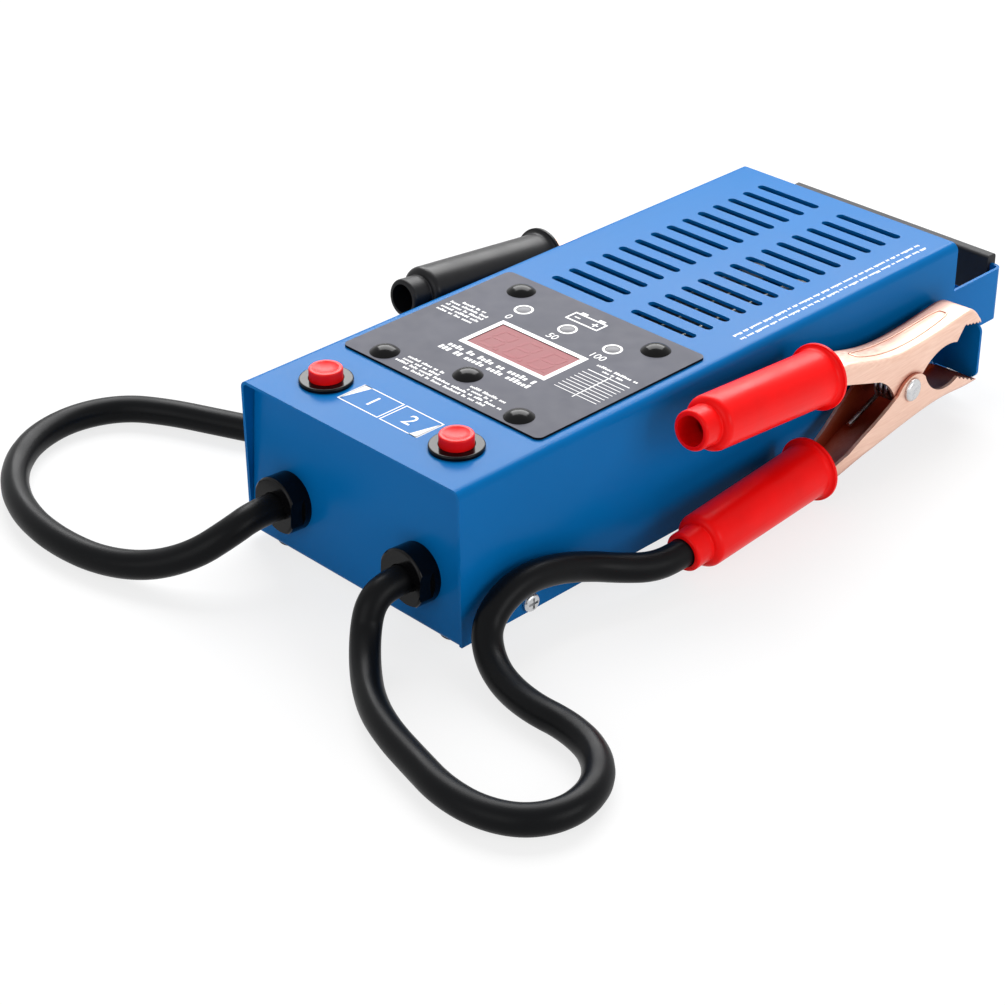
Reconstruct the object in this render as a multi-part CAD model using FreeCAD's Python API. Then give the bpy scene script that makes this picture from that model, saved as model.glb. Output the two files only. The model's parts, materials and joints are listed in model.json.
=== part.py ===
import FreeCAD, Part
import math
import os

V = FreeCAD.Vector
X = V(1, 0, 0)
Y = V(0, 1, 0)
Z = V(0, 0, 1)

# Driving dimensions, millimetres and degrees. Pieces are drawn about the middle of the case's
# underside, with the front at -Y, and are moved to the row's frame when they are saved.

# Clearances
fit_gap = 0.3           # between the cover and the base that nests in it
hole_gap = 0.15         # round a fixed stem, screw or stud
slide_gap = 0.3         # round a push button
pin_gap = 0.08          # round a pivot
seat_gap = 0.1          # under a piece that rests on a curved seat

# Case
case_length = 250.0
case_width = 104.0
case_height = 57.0
sheet = 1.2
bend_radius = 3.0       # outside of the cover's bends
base_bend = 1.6         # outside of the base's bends
cover_lift = 0.6        # lower edges of the cover above the base's underside
front_lean = 4.5        # the front wall leans back
front_inset = 0.2       # foot of the front wall behind the cover's front edge
rear_inset = 7.8        # rear wall in front of the cover's rear edge
flange_height = 11.0    # side flanges of the base

# Places along the case, measured from its front edge, or from its rear edge where the name says rear
button_inset = 19.0
plate_inset = 78.9      # middle of the label plate
relay_inset = 93.0
ribbon_front_inset = 151.0
ribbon_rear_inset = 27.0
foot_front_inset = 8.5
foot_rear_inset = 15.0
side_screw_inset = 29.8     # from either end
slot_rear_inset = 11.0

# Vent slots
slot_length = 28.9
slot_width = 3.3
slot_count = 14
slot_x = 19.1           # middle of each column
slot_gap = 8.9          # from the label plate's rear edge to the first slot

# Carrying strap and its grip
strap_reach = 30.0      # behind the cover's rear edge
strap_low = 17.0
strap_high = 38.0
grip_wall = 1.9
grip_rise = 3.5         # above the strap
grip_drop = 13.0        # skirts below the strap's top edge
grip_length = 94.5
grip_round = 1.5

# Ears for the parked clamps
ear_reach = 19.0        # outside the cover
ear_low = 12.1
ear_height = 21.6
ear_round = 3.0

# Feet and screws
foot_height = 3.0
foot_radius = 6.0
foot_neck = 2.5
foot_head = 3.6
foot_head_height = 1.4
foot_side_inset = 12.0
side_screw_z = 4.5
side_screw_head = 3.25
side_screw_rise = 2.1
side_screw_shank = 1.5
side_screw_length = 7.0
cross_width = 0.9
cross_depth = 1.1

# Label plate, rivets, window and lamps
plate_width = 93.0
plate_length = 79.0
plate_thick = 0.8
plate_round = 2.5
rivet_x = 31.8          # rivets, from the plate's middle
rivet_rear = 30.7
rivet_front = 33.4
rivet_middle = 25.5
rivet_head = 5.2
rivet_rise = 2.3
rivet_stem = 2.0
rivet_barb = 2.7
rivet_barb_length = 2.4
window_width = 36.3
window_length = 17.0
window_sunk = 0.2
lamp_spots = [-21.0, 0.0, 21.0]
lamp_rear = 21.2        # behind the plate's middle
lamp_radius = 2.5
lamp_rim = 2.9
lamp_rim_height = 1.0
lamp_rise = 0.6
lamp_leg = 0.5
lamp_leg_spread = 1.27
lamp_leg_length = 2.2

# Circuit board
board_width = 84.0
board_length = 77.0
board_thick = 1.6
spacer_length = 8.0
spacer_radius = 4.0
display_width = 37.6
display_length = 19.0
chip_size = 14.0
chip_height = 2.2
chip_spot = (-10.0, 17.0)   # from the board's middle
capacitor_radius = 4.0
capacitor_height = 11.0
capacitor_spots = [(-12.0, -17.0), (12.0, -17.0)]

# Push buttons
button_side_inset = 21.0
flange_radius = 9.1
flange_rise = 1.4
flange_bevel = 0.6
cap_radius = 5.7
cap_rise = 3.7
cap_round = 0.6
cap_dish_depth = 1.0
cap_dish_radius = 4.4
cap_rim = 0.6
cap_rim_height = 2.0
button_travel = 2.5
barrel_radius = 7.8
barrel_depth = 20.0
barrel_floor = 2.0
lip_height = 7.0        # narrow part of the bore, from the flange's top
nut_flats = 19.0
nut_height = 3.0
button_wire = 0.8
button_coil_radius = 4.2
button_turns = 5
tab_width = 4.0
tab_thick = 0.8
tab_length = 6.0
tab_spread = 3.5

# Leads and glands
gland_side_inset = 21.0
gland_z = 19.0
gland_head = 10.2
gland_length = 8.0
gland_rim = 2.6         # full round next to the wall
gland_flat = 9.1        # half the width across the flats
gland_bevel = 0.9
gland_mouth = 7.0       # half the width of the slot under the hood
gland_recess = 3.0
gland_hood = 1.0        # lower edge of the hood above the lead's axis
gland_neck = 7.9
gland_inside = 7.0
gland_inside_radius = 9.2
lead_radius = 5.0
lead_gap = 0.2
bend_share = 0.45       # of the shorter run beside a bend

# Load circuit
floor_screw_radius = 2.0
floor_screw_head = 3.6
floor_screw_rise = 2.0
floor_screw_length = 8.0
relay_width = 34.0
relay_length = 40.0
relay_top = 28.0
relay_round = 2.0
stud_radius = 3.0
stud_sunk = 6.0
stud_rise = 10.0
stud_spread = 24.0
terminal_nut_flats = 10.0
terminal_nut_height = 4.5
block_size = 22.0
bar_thick = 2.0
bar_width = 12.0
lug_thick = 2.4
lug_wall = 1.1
lug_barrel = 14.0
lug_tongue = 16.0
ribbon_thick = 0.8
ribbon_height = 18.0
ribbon_pitch = 10.4
ribbon_passes = 6
ribbon_end_reach = 23.0     # bolted ends in front of the front folds
bar_top = 12.0
ceramic_width = 80.0
ceramic_length = 12.0
ceramic_screw_x = 35.0
peg_rise = 2.0
tab_reach = 12.0
element_bolt_radius = 2.0
element_bolt_head = 3.6
element_bolt_rise = 2.4

# Clamps: local frame at the pivot, X outward across the jaw, Y towards the tip, Z up
clamp_yaw = {"red": 3.0, "black": 0.0}
clamp_tip_x = {"red": 61.8, "black": 65.5}
clamp_width = 18.4
clamp_sheet = 1.2
clamp_fold = 2.6
clamp_neck_front = -10.0
clamp_neck_rear = -38.0
handle_width = 15.0
handle_depth = 5.0      # from the sleeve's axis to the outside of the web
half_gap = 0.15         # between the walls of the two halves
jaw_reach = 46.0
hook_depth = 2.8        # from the tip back to the front of the ear
grip_gap = 0.3
upper_tip = 9.0
upper_web = 15.0        # height of each web above and below the pivot
lower_web = -13.4
tooth_depth = 0.8
tooth_count = 5
lug_radius = 5.2
rivet_radius = 2.5
rivet_cap = 4.2
rivet_cap_rise = 1.4
spring_wire = 1.8
spring_radius = 5.4
spring_turns = 3
spring_pitch = 2.3
spring_leg = 20.0
spring_spread = 23.0    # degrees from the jaw's line to each leg
clamp_opens = 12.0      # degrees, handles squeezed together
sleeve_length = 70.0
sleeve_radius = 9.9
sleeve_round = 2.5
collar_radius = 11.7
collar_thick = 1.4
collar_flare = 1.7
sleeve_taper = 0.4      # the body is this much narrower at the nozzle
nozzle_radius = 6.9
nozzle_length = 8.0
nozzle_shoulder = 2.0
handle_inset = 15.0     # end of the metal handle inside the sleeve's end
upper_collar = (-44.3, 19.5)
upper_rise = 6.4        # degrees, the handle climbs away from the pivot
lower_collar = (-45.7, -15.8)
lower_rise = -1.5
ferrule_length = 18.0
lead_in = 9.0           # the lead reaches this far into the lower sleeve
lead_straight = 4.0     # straight stretch outside the sleeve

# Leads in the row's frame: straight run out of the gland, then the route to the clamp
lead_run = {"red": 8.1, "black": 10.4}
red_route = [
    (31.0, -159.6, 19.9), (32.5, -163.8, 11.5), (43.0, -173.4, 5.6),
    (57.0, -183.0, 5.2), (71.5, -188.8, 5.2), (86.0, -192.4, 5.2), (101.9, -196.2, 5.2),
    (117.5, -195.4, 5.2), (129.5, -188.8, 5.2), (135.0, -176.5, 5.2), (131.5, -161.8, 5.2),
    (120.5, -151.8, 5.2), (106.0, -148.2, 5.2), (91.0, -149.3, 5.2), (76.8, -146.8, 5.4),
    (66.0, -142.4, 7.6), (59.4, -137.6, 13.2), (58.4, -130.0, 19.8), (58.4, -119.0, 22.6),
    (58.7, -106.0, 20.6), (60.4, -93.0, 16.4), (64.6, -82.0, 12.6), (69.2, -72.5, 10.6),
]
black_route = [
    (-32.0, -165.0, 20.0), (-38.5, -175.0, 13.0), (-50.5, -184.5, 7.5),
    (-67.0, -191.5, 5.2), (-86.0, -194.5, 5.2), (-106.0, -193.0, 5.2), (-125.0, -186.5, 5.2),
    (-141.0, -175.0, 5.2), (-152.0, -159.0, 5.2), (-155.0, -140.0, 5.2), (-148.0, -122.5, 5.2),
    (-132.5, -112.5, 5.2), (-114.5, -105.0, 5.2), (-97.0, -97.5, 5.2), (-81.5, -88.5, 6.4),
    (-69.0, -77.5, 9.2),
]

# Worked-out sizes
half_length = case_length / 2
half_width = case_width / 2
button_x = half_width - button_side_inset
gland_x = half_width - gland_side_inset
foot_x = half_width - foot_side_inset
front_edge = -half_length
button_y = front_edge + button_inset
plate_y = front_edge + plate_inset
lamp_y = plate_y + lamp_rear
rivet_spots = [(side * rivet_x, plate_y + reach) for side in (-1, 1) for reach in (rivet_rear, -rivet_front)]
rivet_spots.append((0.0, plate_y - rivet_middle))
first_slot_y = plate_y + plate_length / 2 + slot_gap
slot_pitch = (half_length - slot_rear_inset - first_slot_y) / (slot_count - 1)
side_screw_y = half_length - side_screw_inset
foot_front_y = front_edge + foot_front_inset
foot_rear_y = half_length - foot_rear_inset
relay_y = front_edge + relay_inset
ribbon_front_y = front_edge + ribbon_front_inset
ribbon_rear_y = half_length - ribbon_rear_inset
ribbon_end_y = ribbon_front_y - ribbon_end_reach
inner_half = half_width - sheet - fit_gap
rear_y = half_length - rear_inset
wall_top = case_height - sheet - fit_gap
plate_top = case_height + plate_thick
under_cover = case_height - sheet
board_top = under_cover - spacer_length
board_low = board_top - board_thick
ear_high = ear_low + ear_height
ear_y = rear_y - sheet
pivot_z = ear_high + grip_gap - upper_tip
lower_tip = ear_low - grip_gap - pivot_z
rear_reach = strap_reach + grip_wall
row_shift = V(0, -rear_reach / 2, foot_height)
lean = math.radians(front_lean)
bar_x = ribbon_pitch * (ribbon_passes - 1) / 2
sleeve_bore = math.hypot(handle_width / 2 - clamp_fold, handle_depth - clamp_fold) + clamp_fold + fit_gap

os.makedirs("parts", exist_ok=True)


def save(node, shape):
    """Move a piece to the row's frame and write it."""
    moved = shape.copy()
    moved.translate(row_shift)
    moved.exportStep("parts/" + node + ".step")


def box(x, y, z):
    """Block between pairs of limits along each axis."""
    return Part.makeBox(x[1] - x[0], y[1] - y[0], z[1] - z[0], V(x[0], y[0], z[0]))


def rod(radius, start, direction, length):
    """Round bar from a start point."""
    return Part.makeCylinder(radius, length, start, direction)


def hex_prism(flats, height, centre):
    """Upright hexagon by its width across flats."""
    corner = flats / math.sqrt(3)
    points = [V(corner, 0, 0)]
    for turn in range(1, 7):
        angle = math.radians(60 * turn)
        points.append(V(corner * math.cos(angle), corner * math.sin(angle), 0))
    prism = Part.Face(Part.makePolygon(points)).extrude(Z * height)
    prism.translate(centre)
    return prism


def corner_arc(before, point, after, radius):
    """Start, middle and end of the arc that rounds a corner."""
    back = (before - point).normalize()
    ahead = (after - point).normalize()
    half = back.getAngle(ahead) / 2
    reach = radius / math.tan(half)
    bisector = (back + ahead).normalize()
    middle = point + bisector * (radius / math.sin(half) - radius)
    return point + back * reach, middle, point + ahead * reach


def outline(corners):
    """Closed wire through (point, radius) corners."""
    stops = []
    for place, (point, radius) in enumerate(corners):
        if radius:
            before = corners[place - 1][0]
            after = corners[(place + 1) % len(corners)][0]
            stops.append(corner_arc(before, point, after, radius))
        else:
            stops.append((point, point, point))
    edges = []
    for place, (start, middle, end) in enumerate(stops):
        last = stops[place - 1][2]
        if (start - last).Length > 1e-6:
            edges.append(Part.LineSegment(last, start).toShape())
        if (end - start).Length > 1e-6:
            edges.append(Part.Arc(start, middle, end).toShape())
    return Part.Wire(edges)


def plate(x, y, z, radius):
    """Upright-sided plate with rounded corners."""
    low = z[0]
    spots = [V(x[0], y[0], low), V(x[1], y[0], low), V(x[1], y[1], low), V(x[0], y[1], low)]
    return Part.Face(outline([(spot, radius) for spot in spots])).extrude(Z * (z[1] - z[0]))


def spun(profile):
    """Solid turned about Z from a closed outline of (radius, height, rounding) corners."""
    corners = [(V(radius, 0, height), rounding) for radius, height, rounding in profile]
    return Part.Face(outline(corners)).revolve(V(), Z, 360)


def dome(radius, rise, height):
    """Shallow cap of a ball on a disc at a given height."""
    ball = (radius ** 2 + rise ** 2) / (2 * rise)
    sphere = Part.makeSphere(ball, V(0, 0, height + rise - ball))
    return sphere.common(rod(2 * ball, V(0, 0, height), Z, rise))


def tube_along(edges, radius):
    """Round tube swept along a smooth chain of edges."""
    path = Part.Wire(edges)
    start = edges[0].Vertexes[0].Point
    tangent = edges[0].tangentAt(edges[0].FirstParameter)
    ring = Part.Wire(Part.makeCircle(radius, start, tangent))
    shell = Part.BRepOffsetAPI.MakePipeShell(path)
    shell.add(ring)
    shell.build()
    shell.makeSolid()
    return shell.shape()


def run_edges(points, radii):
    """Straight runs joined by tangent arcs."""
    edges = []
    last = points[0]
    for place in range(1, len(points) - 1):
        start, middle, end = corner_arc(points[place - 1], points[place], points[place + 1], radii[place])
        edges.append(Part.LineSegment(last, start).toShape())
        edges.append(Part.Arc(start, middle, end).toShape())
        last = end
    edges.append(Part.LineSegment(last, points[-1]).toShape())
    return edges


def widest_radii(points):
    """Largest bend radius that the two runs at each point leave room for."""
    radii = [0.0]
    for place in range(1, len(points) - 1):
        back = points[place - 1] - points[place]
        ahead = points[place + 1] - points[place]
        turn = math.pi - back.getAngle(ahead)
        radii.append(bend_share * min(back.Length, ahead.Length) / math.tan(turn / 2))
    return radii + [0.0]


def biarc(start, out, end, into):
    """Two tangent arcs between two points with given directions."""
    chord = end - start
    both = out + into
    slack = 2 * (1 - out.dot(into))
    lead = (-chord.dot(both) + math.sqrt(chord.dot(both) ** 2 + slack * chord.dot(chord))) / slack
    joint = (start + out * lead + end - into * lead) * 0.5
    arcs = []
    for near, apex, far in ((start, start + out * lead, joint), (joint, end - into * lead, end)):
        middle = (near + far) * 0.5
        half_chord = (far - near).Length / 2
        rise = apex - middle
        half_turn = math.atan2(rise.Length, half_chord)
        top = middle + rise.normalize() * (half_chord * math.tan(half_turn / 2))
        arcs.append(Part.Arc(near, top, far).toShape())
    return arcs


def helix_edges(radius, pitch, turns, start_angle, first_leg, last_leg):
    """Helix about Z in quarter-turn biarcs, with a straight leg at each end."""
    slope = pitch / (2 * math.pi * radius)
    tilt = math.sqrt(1 + slope * slope)

    def spot(angle):
        height = pitch * (angle - start_angle) / (2 * math.pi)
        return V(radius * math.cos(angle), radius * math.sin(angle), height)

    def way(angle):
        return V(-math.sin(angle), math.cos(angle), slope) * (1 / tilt)

    quarters = int(round(4 * turns))
    step = 2 * math.pi * turns / quarters
    angles = [start_angle + step * count for count in range(quarters + 1)]
    edges = [Part.LineSegment(spot(angles[0]) - way(angles[0]) * first_leg, spot(angles[0])).toShape()]
    for one, two in zip(angles, angles[1:]):
        edges += biarc(spot(one), way(one), spot(two), way(two))
    edges.append(Part.LineSegment(spot(angles[-1]), spot(angles[-1]) + way(angles[-1]) * last_leg).toShape())
    return edges


def print_coil_gap(name, edges, wire, turn_arcs):
    """Least gap between stretches of one coil that lie a turn or more apart."""
    chains = [edge.discretize(9) for edge in edges]
    least = None
    for near, first in enumerate(chains):
        for second in chains[near + turn_arcs:]:
            for one in first:
                reach = min((one - two).Length for two in second) - wire
                least = reach if least is None else min(least, reach)
    print(name, "least gap to itself", round(least, 2))


def mirrored(shape):
    """The same piece on the other side of the case."""
    return shape.mirror(V(), X)


def both_sides(shape):
    """A piece and its mirror image as separate solids."""
    return Part.makeCompound([shape, mirrored(shape)])


def front_wall_y(height):
    """Outer face of the leaning front wall."""
    return -half_length + front_inset + height * math.tan(lean)


def gland_place(side):
    """Frame of a gland: Z out of the wall, X across it."""
    spot = V(side * gland_x, front_wall_y(gland_z), gland_z)
    return FreeCAD.Placement(spot, FreeCAD.Rotation(X, 90 - front_lean))


def floor_screw_spots():
    """Screws through the floor: relay, terminal block and ceramic bars."""
    spots = [(gland_x, relay_y - stud_spread / 2), (gland_x, relay_y + stud_spread / 2)]
    spots.append((-gland_x, relay_y))
    for y in (ribbon_front_y, ribbon_rear_y):
        spots += [(-ceramic_screw_x, y), (ceramic_screw_x, y)]
    return spots


def screw_sockets():
    """Blind holes over the floor screws."""
    length = floor_screw_length + hole_gap
    return [rod(floor_screw_radius + hole_gap, V(x, y, 0), Z, length) for x, y in floor_screw_spots()]


def build_cover():
    """Folded cover with slots, panel holes, notches for the ears and the carrying strap."""
    high = case_height
    low = cover_lift
    section = outline([
        (V(-half_width, -half_length, low), 0), (V(-half_width, -half_length, high), bend_radius),
        (V(half_width, -half_length, high), bend_radius), (V(half_width, -half_length, low), 0),
        (V(half_width - sheet, -half_length, low), 0),
        (V(half_width - sheet, -half_length, high - sheet), bend_radius - sheet),
        (V(sheet - half_width, -half_length, high - sheet), bend_radius - sheet),
        (V(sheet - half_width, -half_length, low), 0),
    ])
    cover = Part.Face(section).extrude(Y * case_length)
    rear = half_length + strap_reach
    root = half_length - bend_radius
    loop = outline([
        (V(-half_width, root, strap_low), 0), (V(-half_width, rear, strap_low), bend_radius),
        (V(half_width, rear, strap_low), bend_radius), (V(half_width, root, strap_low), 0),
        (V(half_width - sheet, root, strap_low), 0),
        (V(half_width - sheet, rear - sheet, strap_low), bend_radius - sheet),
        (V(sheet - half_width, rear - sheet, strap_low), bend_radius - sheet),
        (V(sheet - half_width, root, strap_low), 0),
    ])
    strap = Part.Face(loop).extrude(Z * (strap_high - strap_low))
    cover = cover.fuse(strap).removeSplitter()
    top = (under_cover - sheet, high + sheet)
    cuts = []
    for row in range(slot_count):
        y = first_slot_y + row * slot_pitch
        for x in (-slot_x, slot_x):
            sides = (x - slot_length / 2, x + slot_length / 2)
            cuts.append(plate(sides, (y - slot_width / 2, y + slot_width / 2), top, slot_width * 0.499))
    cuts += panel_holes(top)
    for side in (-1, 1):
        cuts.append(rod(barrel_radius + hole_gap, V(side * button_x, button_y, top[0]), Z, top[1] - top[0]))
        wall = sorted((side * (half_width - 2 * sheet), side * (half_width + sheet)))
        notch = (ear_y - fit_gap, rear_y + fit_gap)
        cuts.append(box(wall, notch, (-sheet, ear_high + fit_gap)))
        for y in (-side_screw_y, side_screw_y):
            cuts.append(rod(side_screw_shank + hole_gap, V(wall[0], y, side_screw_z), X, 3 * sheet))
    return cover.cut(cuts)


def panel_holes(z):
    """Holes for rivets, lamps and window, shared by cover, label plate and board."""
    depth = z[1] - z[0]
    holes = [rod(rivet_stem + hole_gap, V(x, y, z[0]), Z, depth) for x, y in rivet_spots]
    holes += [rod(lamp_radius + hole_gap, V(x, lamp_y, z[0]), Z, depth) for x in lamp_spots]
    across = window_width / 2 + hole_gap
    along = window_length / 2 + hole_gap
    holes.append(box((-across, across), (plate_y - along, plate_y + along), z))
    return holes


def build_base():
    """Floor, leaning front wall, rear wall with ears and side flanges, in one folded sheet."""
    low = front_wall_y(0)
    high = front_wall_y(wall_top)
    step = sheet / math.cos(lean)
    left = -inner_half
    inner_round = base_bend - sheet
    corner_round = bend_radius - sheet
    folded = Part.Face(outline([
        (V(left, high, wall_top), 0), (V(left, low, 0), base_bend), (V(left, rear_y, 0), base_bend),
        (V(left, rear_y, wall_top), 0), (V(left, ear_y, wall_top), 0), (V(left, ear_y, sheet), inner_round),
        (V(left, front_wall_y(sheet) + step, sheet), inner_round), (V(left, high + step, wall_top), 0),
    ])).extrude(X * 2 * inner_half)
    folded = folded.common(Part.Face(outline([
        (V(left, front_edge, 0), 0), (V(left, front_edge, wall_top), corner_round),
        (V(inner_half, front_edge, wall_top), corner_round), (V(inner_half, front_edge, 0), 0),
    ])).extrude(Y * case_length))
    reach = half_width + ear_reach
    ears = Part.Face(outline([
        (V(-reach, ear_y, ear_low), ear_round), (V(reach, ear_y, ear_low), ear_round),
        (V(reach, ear_y, ear_high), ear_round), (V(-reach, ear_y, ear_high), ear_round),
    ])).extrude(Y * sheet)
    flange_front = front_wall_y(flange_height) + 2 * bend_radius
    pieces = [ears]
    for side in (-1, 1):
        across = sorted((side * inner_half, side * (inner_half - sheet)))
        pieces.append(box(across, (flange_front, ear_y - bend_radius), (0, flange_height)))
    base = folded.fuse(pieces).removeSplitter()
    cuts = screw_sockets()
    for side in (-1, 1):
        hole = rod(gland_neck + hole_gap, V(0, 0, -3 * sheet), Z, 4 * sheet)
        hole.Placement = gland_place(side)
        cuts.append(hole)
        inner = side * (inner_half - sheet / 2)
        for y in (-side_screw_y, side_screw_y):
            start = V(inner - sheet, y, side_screw_z)
            cuts.append(rod(side_screw_shank + hole_gap, start, X, 2 * sheet))
        for y in (foot_front_y, foot_rear_y):
            cuts.append(rod(foot_neck, V(side * foot_x, y, -sheet), Z, 3 * sheet))
    return base.cut(cuts)


def build_grip():
    """Moulded channel pushed down over the strap's rear wall."""
    wall = half_length + strap_reach - sheet
    top = strap_high + grip_rise
    low = strap_high - grip_drop
    ends = (-grip_length / 2, grip_length / 2)
    outer = outline([
        (V(ends[0], wall - grip_wall, low), grip_round / 2), (V(ends[0], wall - grip_wall, top), grip_round),
        (V(ends[0], wall + sheet + grip_wall, top), grip_round),
        (V(ends[0], wall + sheet + grip_wall, low), grip_round / 2),
    ])
    grip = Part.Face(outer).extrude(X * grip_length)
    slot = box(ends, (wall - hole_gap, wall + sheet + hole_gap), (low - sheet, strap_high))
    return grip.cut(slot)


def build_label_plate():
    across = (-plate_width / 2, plate_width / 2)
    along = (plate_y - plate_length / 2, plate_y + plate_length / 2)
    body = plate(across, along, (case_height, plate_top), plate_round)
    return body.cut(panel_holes((case_height - sheet, plate_top + sheet)))


def build_plate_rivets():
    """Push rivets: domed head, stem through plate, cover, spacer and board, barb below."""
    barb_top = board_low - hole_gap
    barb_low = barb_top - rivet_barb_length
    shaft = spun([
        (0, barb_low, 0), (rivet_stem / 2, barb_low, 0), (rivet_barb, barb_top, 0),
        (rivet_stem, barb_top, 0), (rivet_stem, plate_top, 0), (0, plate_top, 0),
    ])
    rivet = dome(rivet_head, rivet_rise, plate_top).fuse(shaft).removeSplitter()
    return Part.makeCompound([rivet.translated(V(x, y, 0)) for x, y in rivet_spots])


def build_board_spacers():
    """Tubes round the rivet stems, between cover and board."""
    tubes = []
    for x, y in rivet_spots:
        foot = V(x, y, board_top)
        outer = rod(spacer_radius, foot, Z, spacer_length)
        tubes.append(outer.cut(rod(rivet_stem + hole_gap, foot, Z, spacer_length)))
    return Part.makeCompound(tubes)


def build_window():
    across = (-window_width / 2, window_width / 2)
    along = (plate_y - window_length / 2, plate_y + window_length / 2)
    return box(across, along, (under_cover - hole_gap, plate_top - window_sunk))


def build_display():
    """Numeral block that stands on the board under the window."""
    across = (-display_width / 2, display_width / 2)
    along = (plate_y - display_length / 2, plate_y + display_length / 2)
    return box(across, along, (board_top, under_cover - hole_gap))


def build_board():
    across = (-board_width / 2, board_width / 2)
    along = (plate_y - board_length / 2, plate_y + board_length / 2)
    board = plate(across, along, (board_low, board_top), plate_round)
    depth = (board_low - sheet, board_top + sheet)
    holes = [rod(rivet_stem + hole_gap, V(x, y, depth[0]), Z, depth[1] - depth[0]) for x, y in rivet_spots]
    return board.cut(holes)


def build_chip():
    x = chip_spot[0]
    y = chip_spot[1] + plate_y
    half = chip_size / 2
    return box((x - half, x + half), (y - half, y + half), (board_low - chip_height, board_low))


def build_capacitors():
    low = board_low - capacitor_height
    cans = []
    for x, y in capacitor_spots:
        can = spun([
            (0, low, 0), (capacitor_radius, low, capacitor_radius / 8),
            (capacitor_radius, board_low, 0), (0, board_low, 0),
        ])
        cans.append(can.translated(V(x, plate_y + y, 0)))
    return Part.makeCompound(cans)


def build_lamp(x):
    """Lamp with a rim, a domed end and two legs on the board."""
    low = board_top + lamp_leg_length
    body = rod(lamp_radius, V(0, 0, low), Z, plate_top - low)
    rim = rod(lamp_rim, V(0, 0, low), Z, lamp_rim_height)
    legs = []
    half = lamp_leg / 2
    for side in (-lamp_leg_spread, lamp_leg_spread):
        legs.append(box((side - half, side + half), (-half, half), (board_top, low)))
    lamp = body.fuse([dome(lamp_radius, lamp_rise, plate_top), rim] + legs).removeSplitter()
    return lamp.translated(V(x, lamp_y, 0))


def build_button_cap():
    """Cap with a dished top and a rim that the barrel's lip holds back."""
    top = case_height + flange_rise + cap_rise
    lip = case_height + flange_rise - lip_height
    rim_top = lip - slide_gap
    low = rim_top - cap_rim_height
    wide = cap_radius + cap_rim
    cap = spun([
        (0, low, 0), (wide, low, 0), (wide, rim_top, 0), (cap_radius, rim_top, 0),
        (cap_radius, top, cap_round), (0, top, 0),
    ])
    ball = (cap_dish_radius ** 2 + cap_dish_depth ** 2) / (2 * cap_dish_depth)
    dish = Part.makeSphere(ball, V(0, 0, top - cap_dish_depth + ball))
    return cap.cut(dish).translated(V(button_x, button_y, 0))


def build_button_body():
    """Bezel flange on the cover and a stepped barrel through it."""
    top = case_height + flange_rise
    low = case_height - barrel_depth
    lip = top - lip_height
    bore = cap_radius + slide_gap
    wide = cap_radius + cap_rim + slide_gap
    body = spun([
        (0, low, 0), (barrel_radius, low, 0), (barrel_radius, case_height, 0),
        (flange_radius, case_height, 0), (flange_radius, top, flange_bevel), (bore, top, 0), (bore, lip, 0),
        (wide, lip, 0), (wide, low + barrel_floor, 0), (0, low + barrel_floor, 0),
    ])
    return body.translated(V(button_x, button_y, 0))


def build_button_nut():
    foot = V(button_x, button_y, under_cover - nut_height)
    return hex_prism(nut_flats, nut_height, foot).cut(rod(barrel_radius + hole_gap, foot, Z, nut_height))


def build_button_spring():
    """Return spring between the barrel's floor and the cap."""
    low = case_height - barrel_depth + barrel_floor + button_wire / 2 + seat_gap
    lip = case_height + flange_rise - lip_height
    high = lip - slide_gap - cap_rim_height - button_wire / 2 - seat_gap
    pitch = (high - low) / (button_turns + 2 * button_wire / (2 * math.pi * button_coil_radius))
    edges = helix_edges(button_coil_radius, pitch, button_turns, 0, button_wire, button_wire)
    print_coil_gap("button spring", edges, button_wire, 8)
    spring = tube_along(edges, button_wire / 2)
    spring.translate(V(button_x, button_y, low))
    return spring


def build_button_tabs():
    """Solder tabs under both barrels."""
    top = case_height - barrel_depth
    tabs = []
    for side in (-1, 1):
        for offset in (-tab_spread, tab_spread):
            x = side * button_x + offset
            across = (x - tab_thick / 2, x + tab_thick / 2)
            along = (button_y - tab_width / 2, button_y + tab_width / 2)
            tabs.append(box(across, along, (top - tab_length, top)))
    return Part.makeCompound(tabs)


def cross_screw(radius, rise, shank, length):
    """Pan-head screw along Z, head seated at height 0, with a cross recess."""
    screw = spun([
        (0, -length, 0), (shank, -length, shank / 4), (shank, 0, 0), (radius, 0, 0),
        (radius, rise, rise * 0.6), (0, rise, 0),
    ])
    arm = radius * 0.62
    half = cross_width / 2
    depth = (rise - cross_depth, rise + sheet)
    return screw.cut([box((-arm, arm), (-half, half), depth), box((-half, half), (-arm, arm), depth)])


def build_cover_screws():
    screws = []
    for side in (-1, 1):
        for y in (-side_screw_y, side_screw_y):
            screw = cross_screw(side_screw_head, side_screw_rise, side_screw_shank, side_screw_length)
            spot = V(side * half_width, y, side_screw_z)
            screw.Placement = FreeCAD.Placement(spot, FreeCAD.Rotation(Z, X * side))
            screws.append(screw)
    return Part.makeCompound(screws)


def build_feet():
    """Rubber feet with a neck through the floor and a head inside."""
    neck = foot_neck - hole_gap
    top = sheet + seat_gap
    head_top = top + foot_head_height
    tread = foot_radius - foot_height / 3
    foot = spun([
        (0, -foot_height, 0), (tread, -foot_height, foot_height / 6), (foot_radius, 0, 0), (neck, 0, 0),
        (neck, top, 0), (foot_head, top, 0), (foot_head, head_top, foot_head_height / 2), (0, head_top, 0),
    ])
    spots = [(x, y) for x in (-foot_x, foot_x) for y in (foot_front_y, foot_rear_y)]
    return Part.makeCompound([foot.translated(V(x, y, 0)) for x, y in spots])


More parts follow.
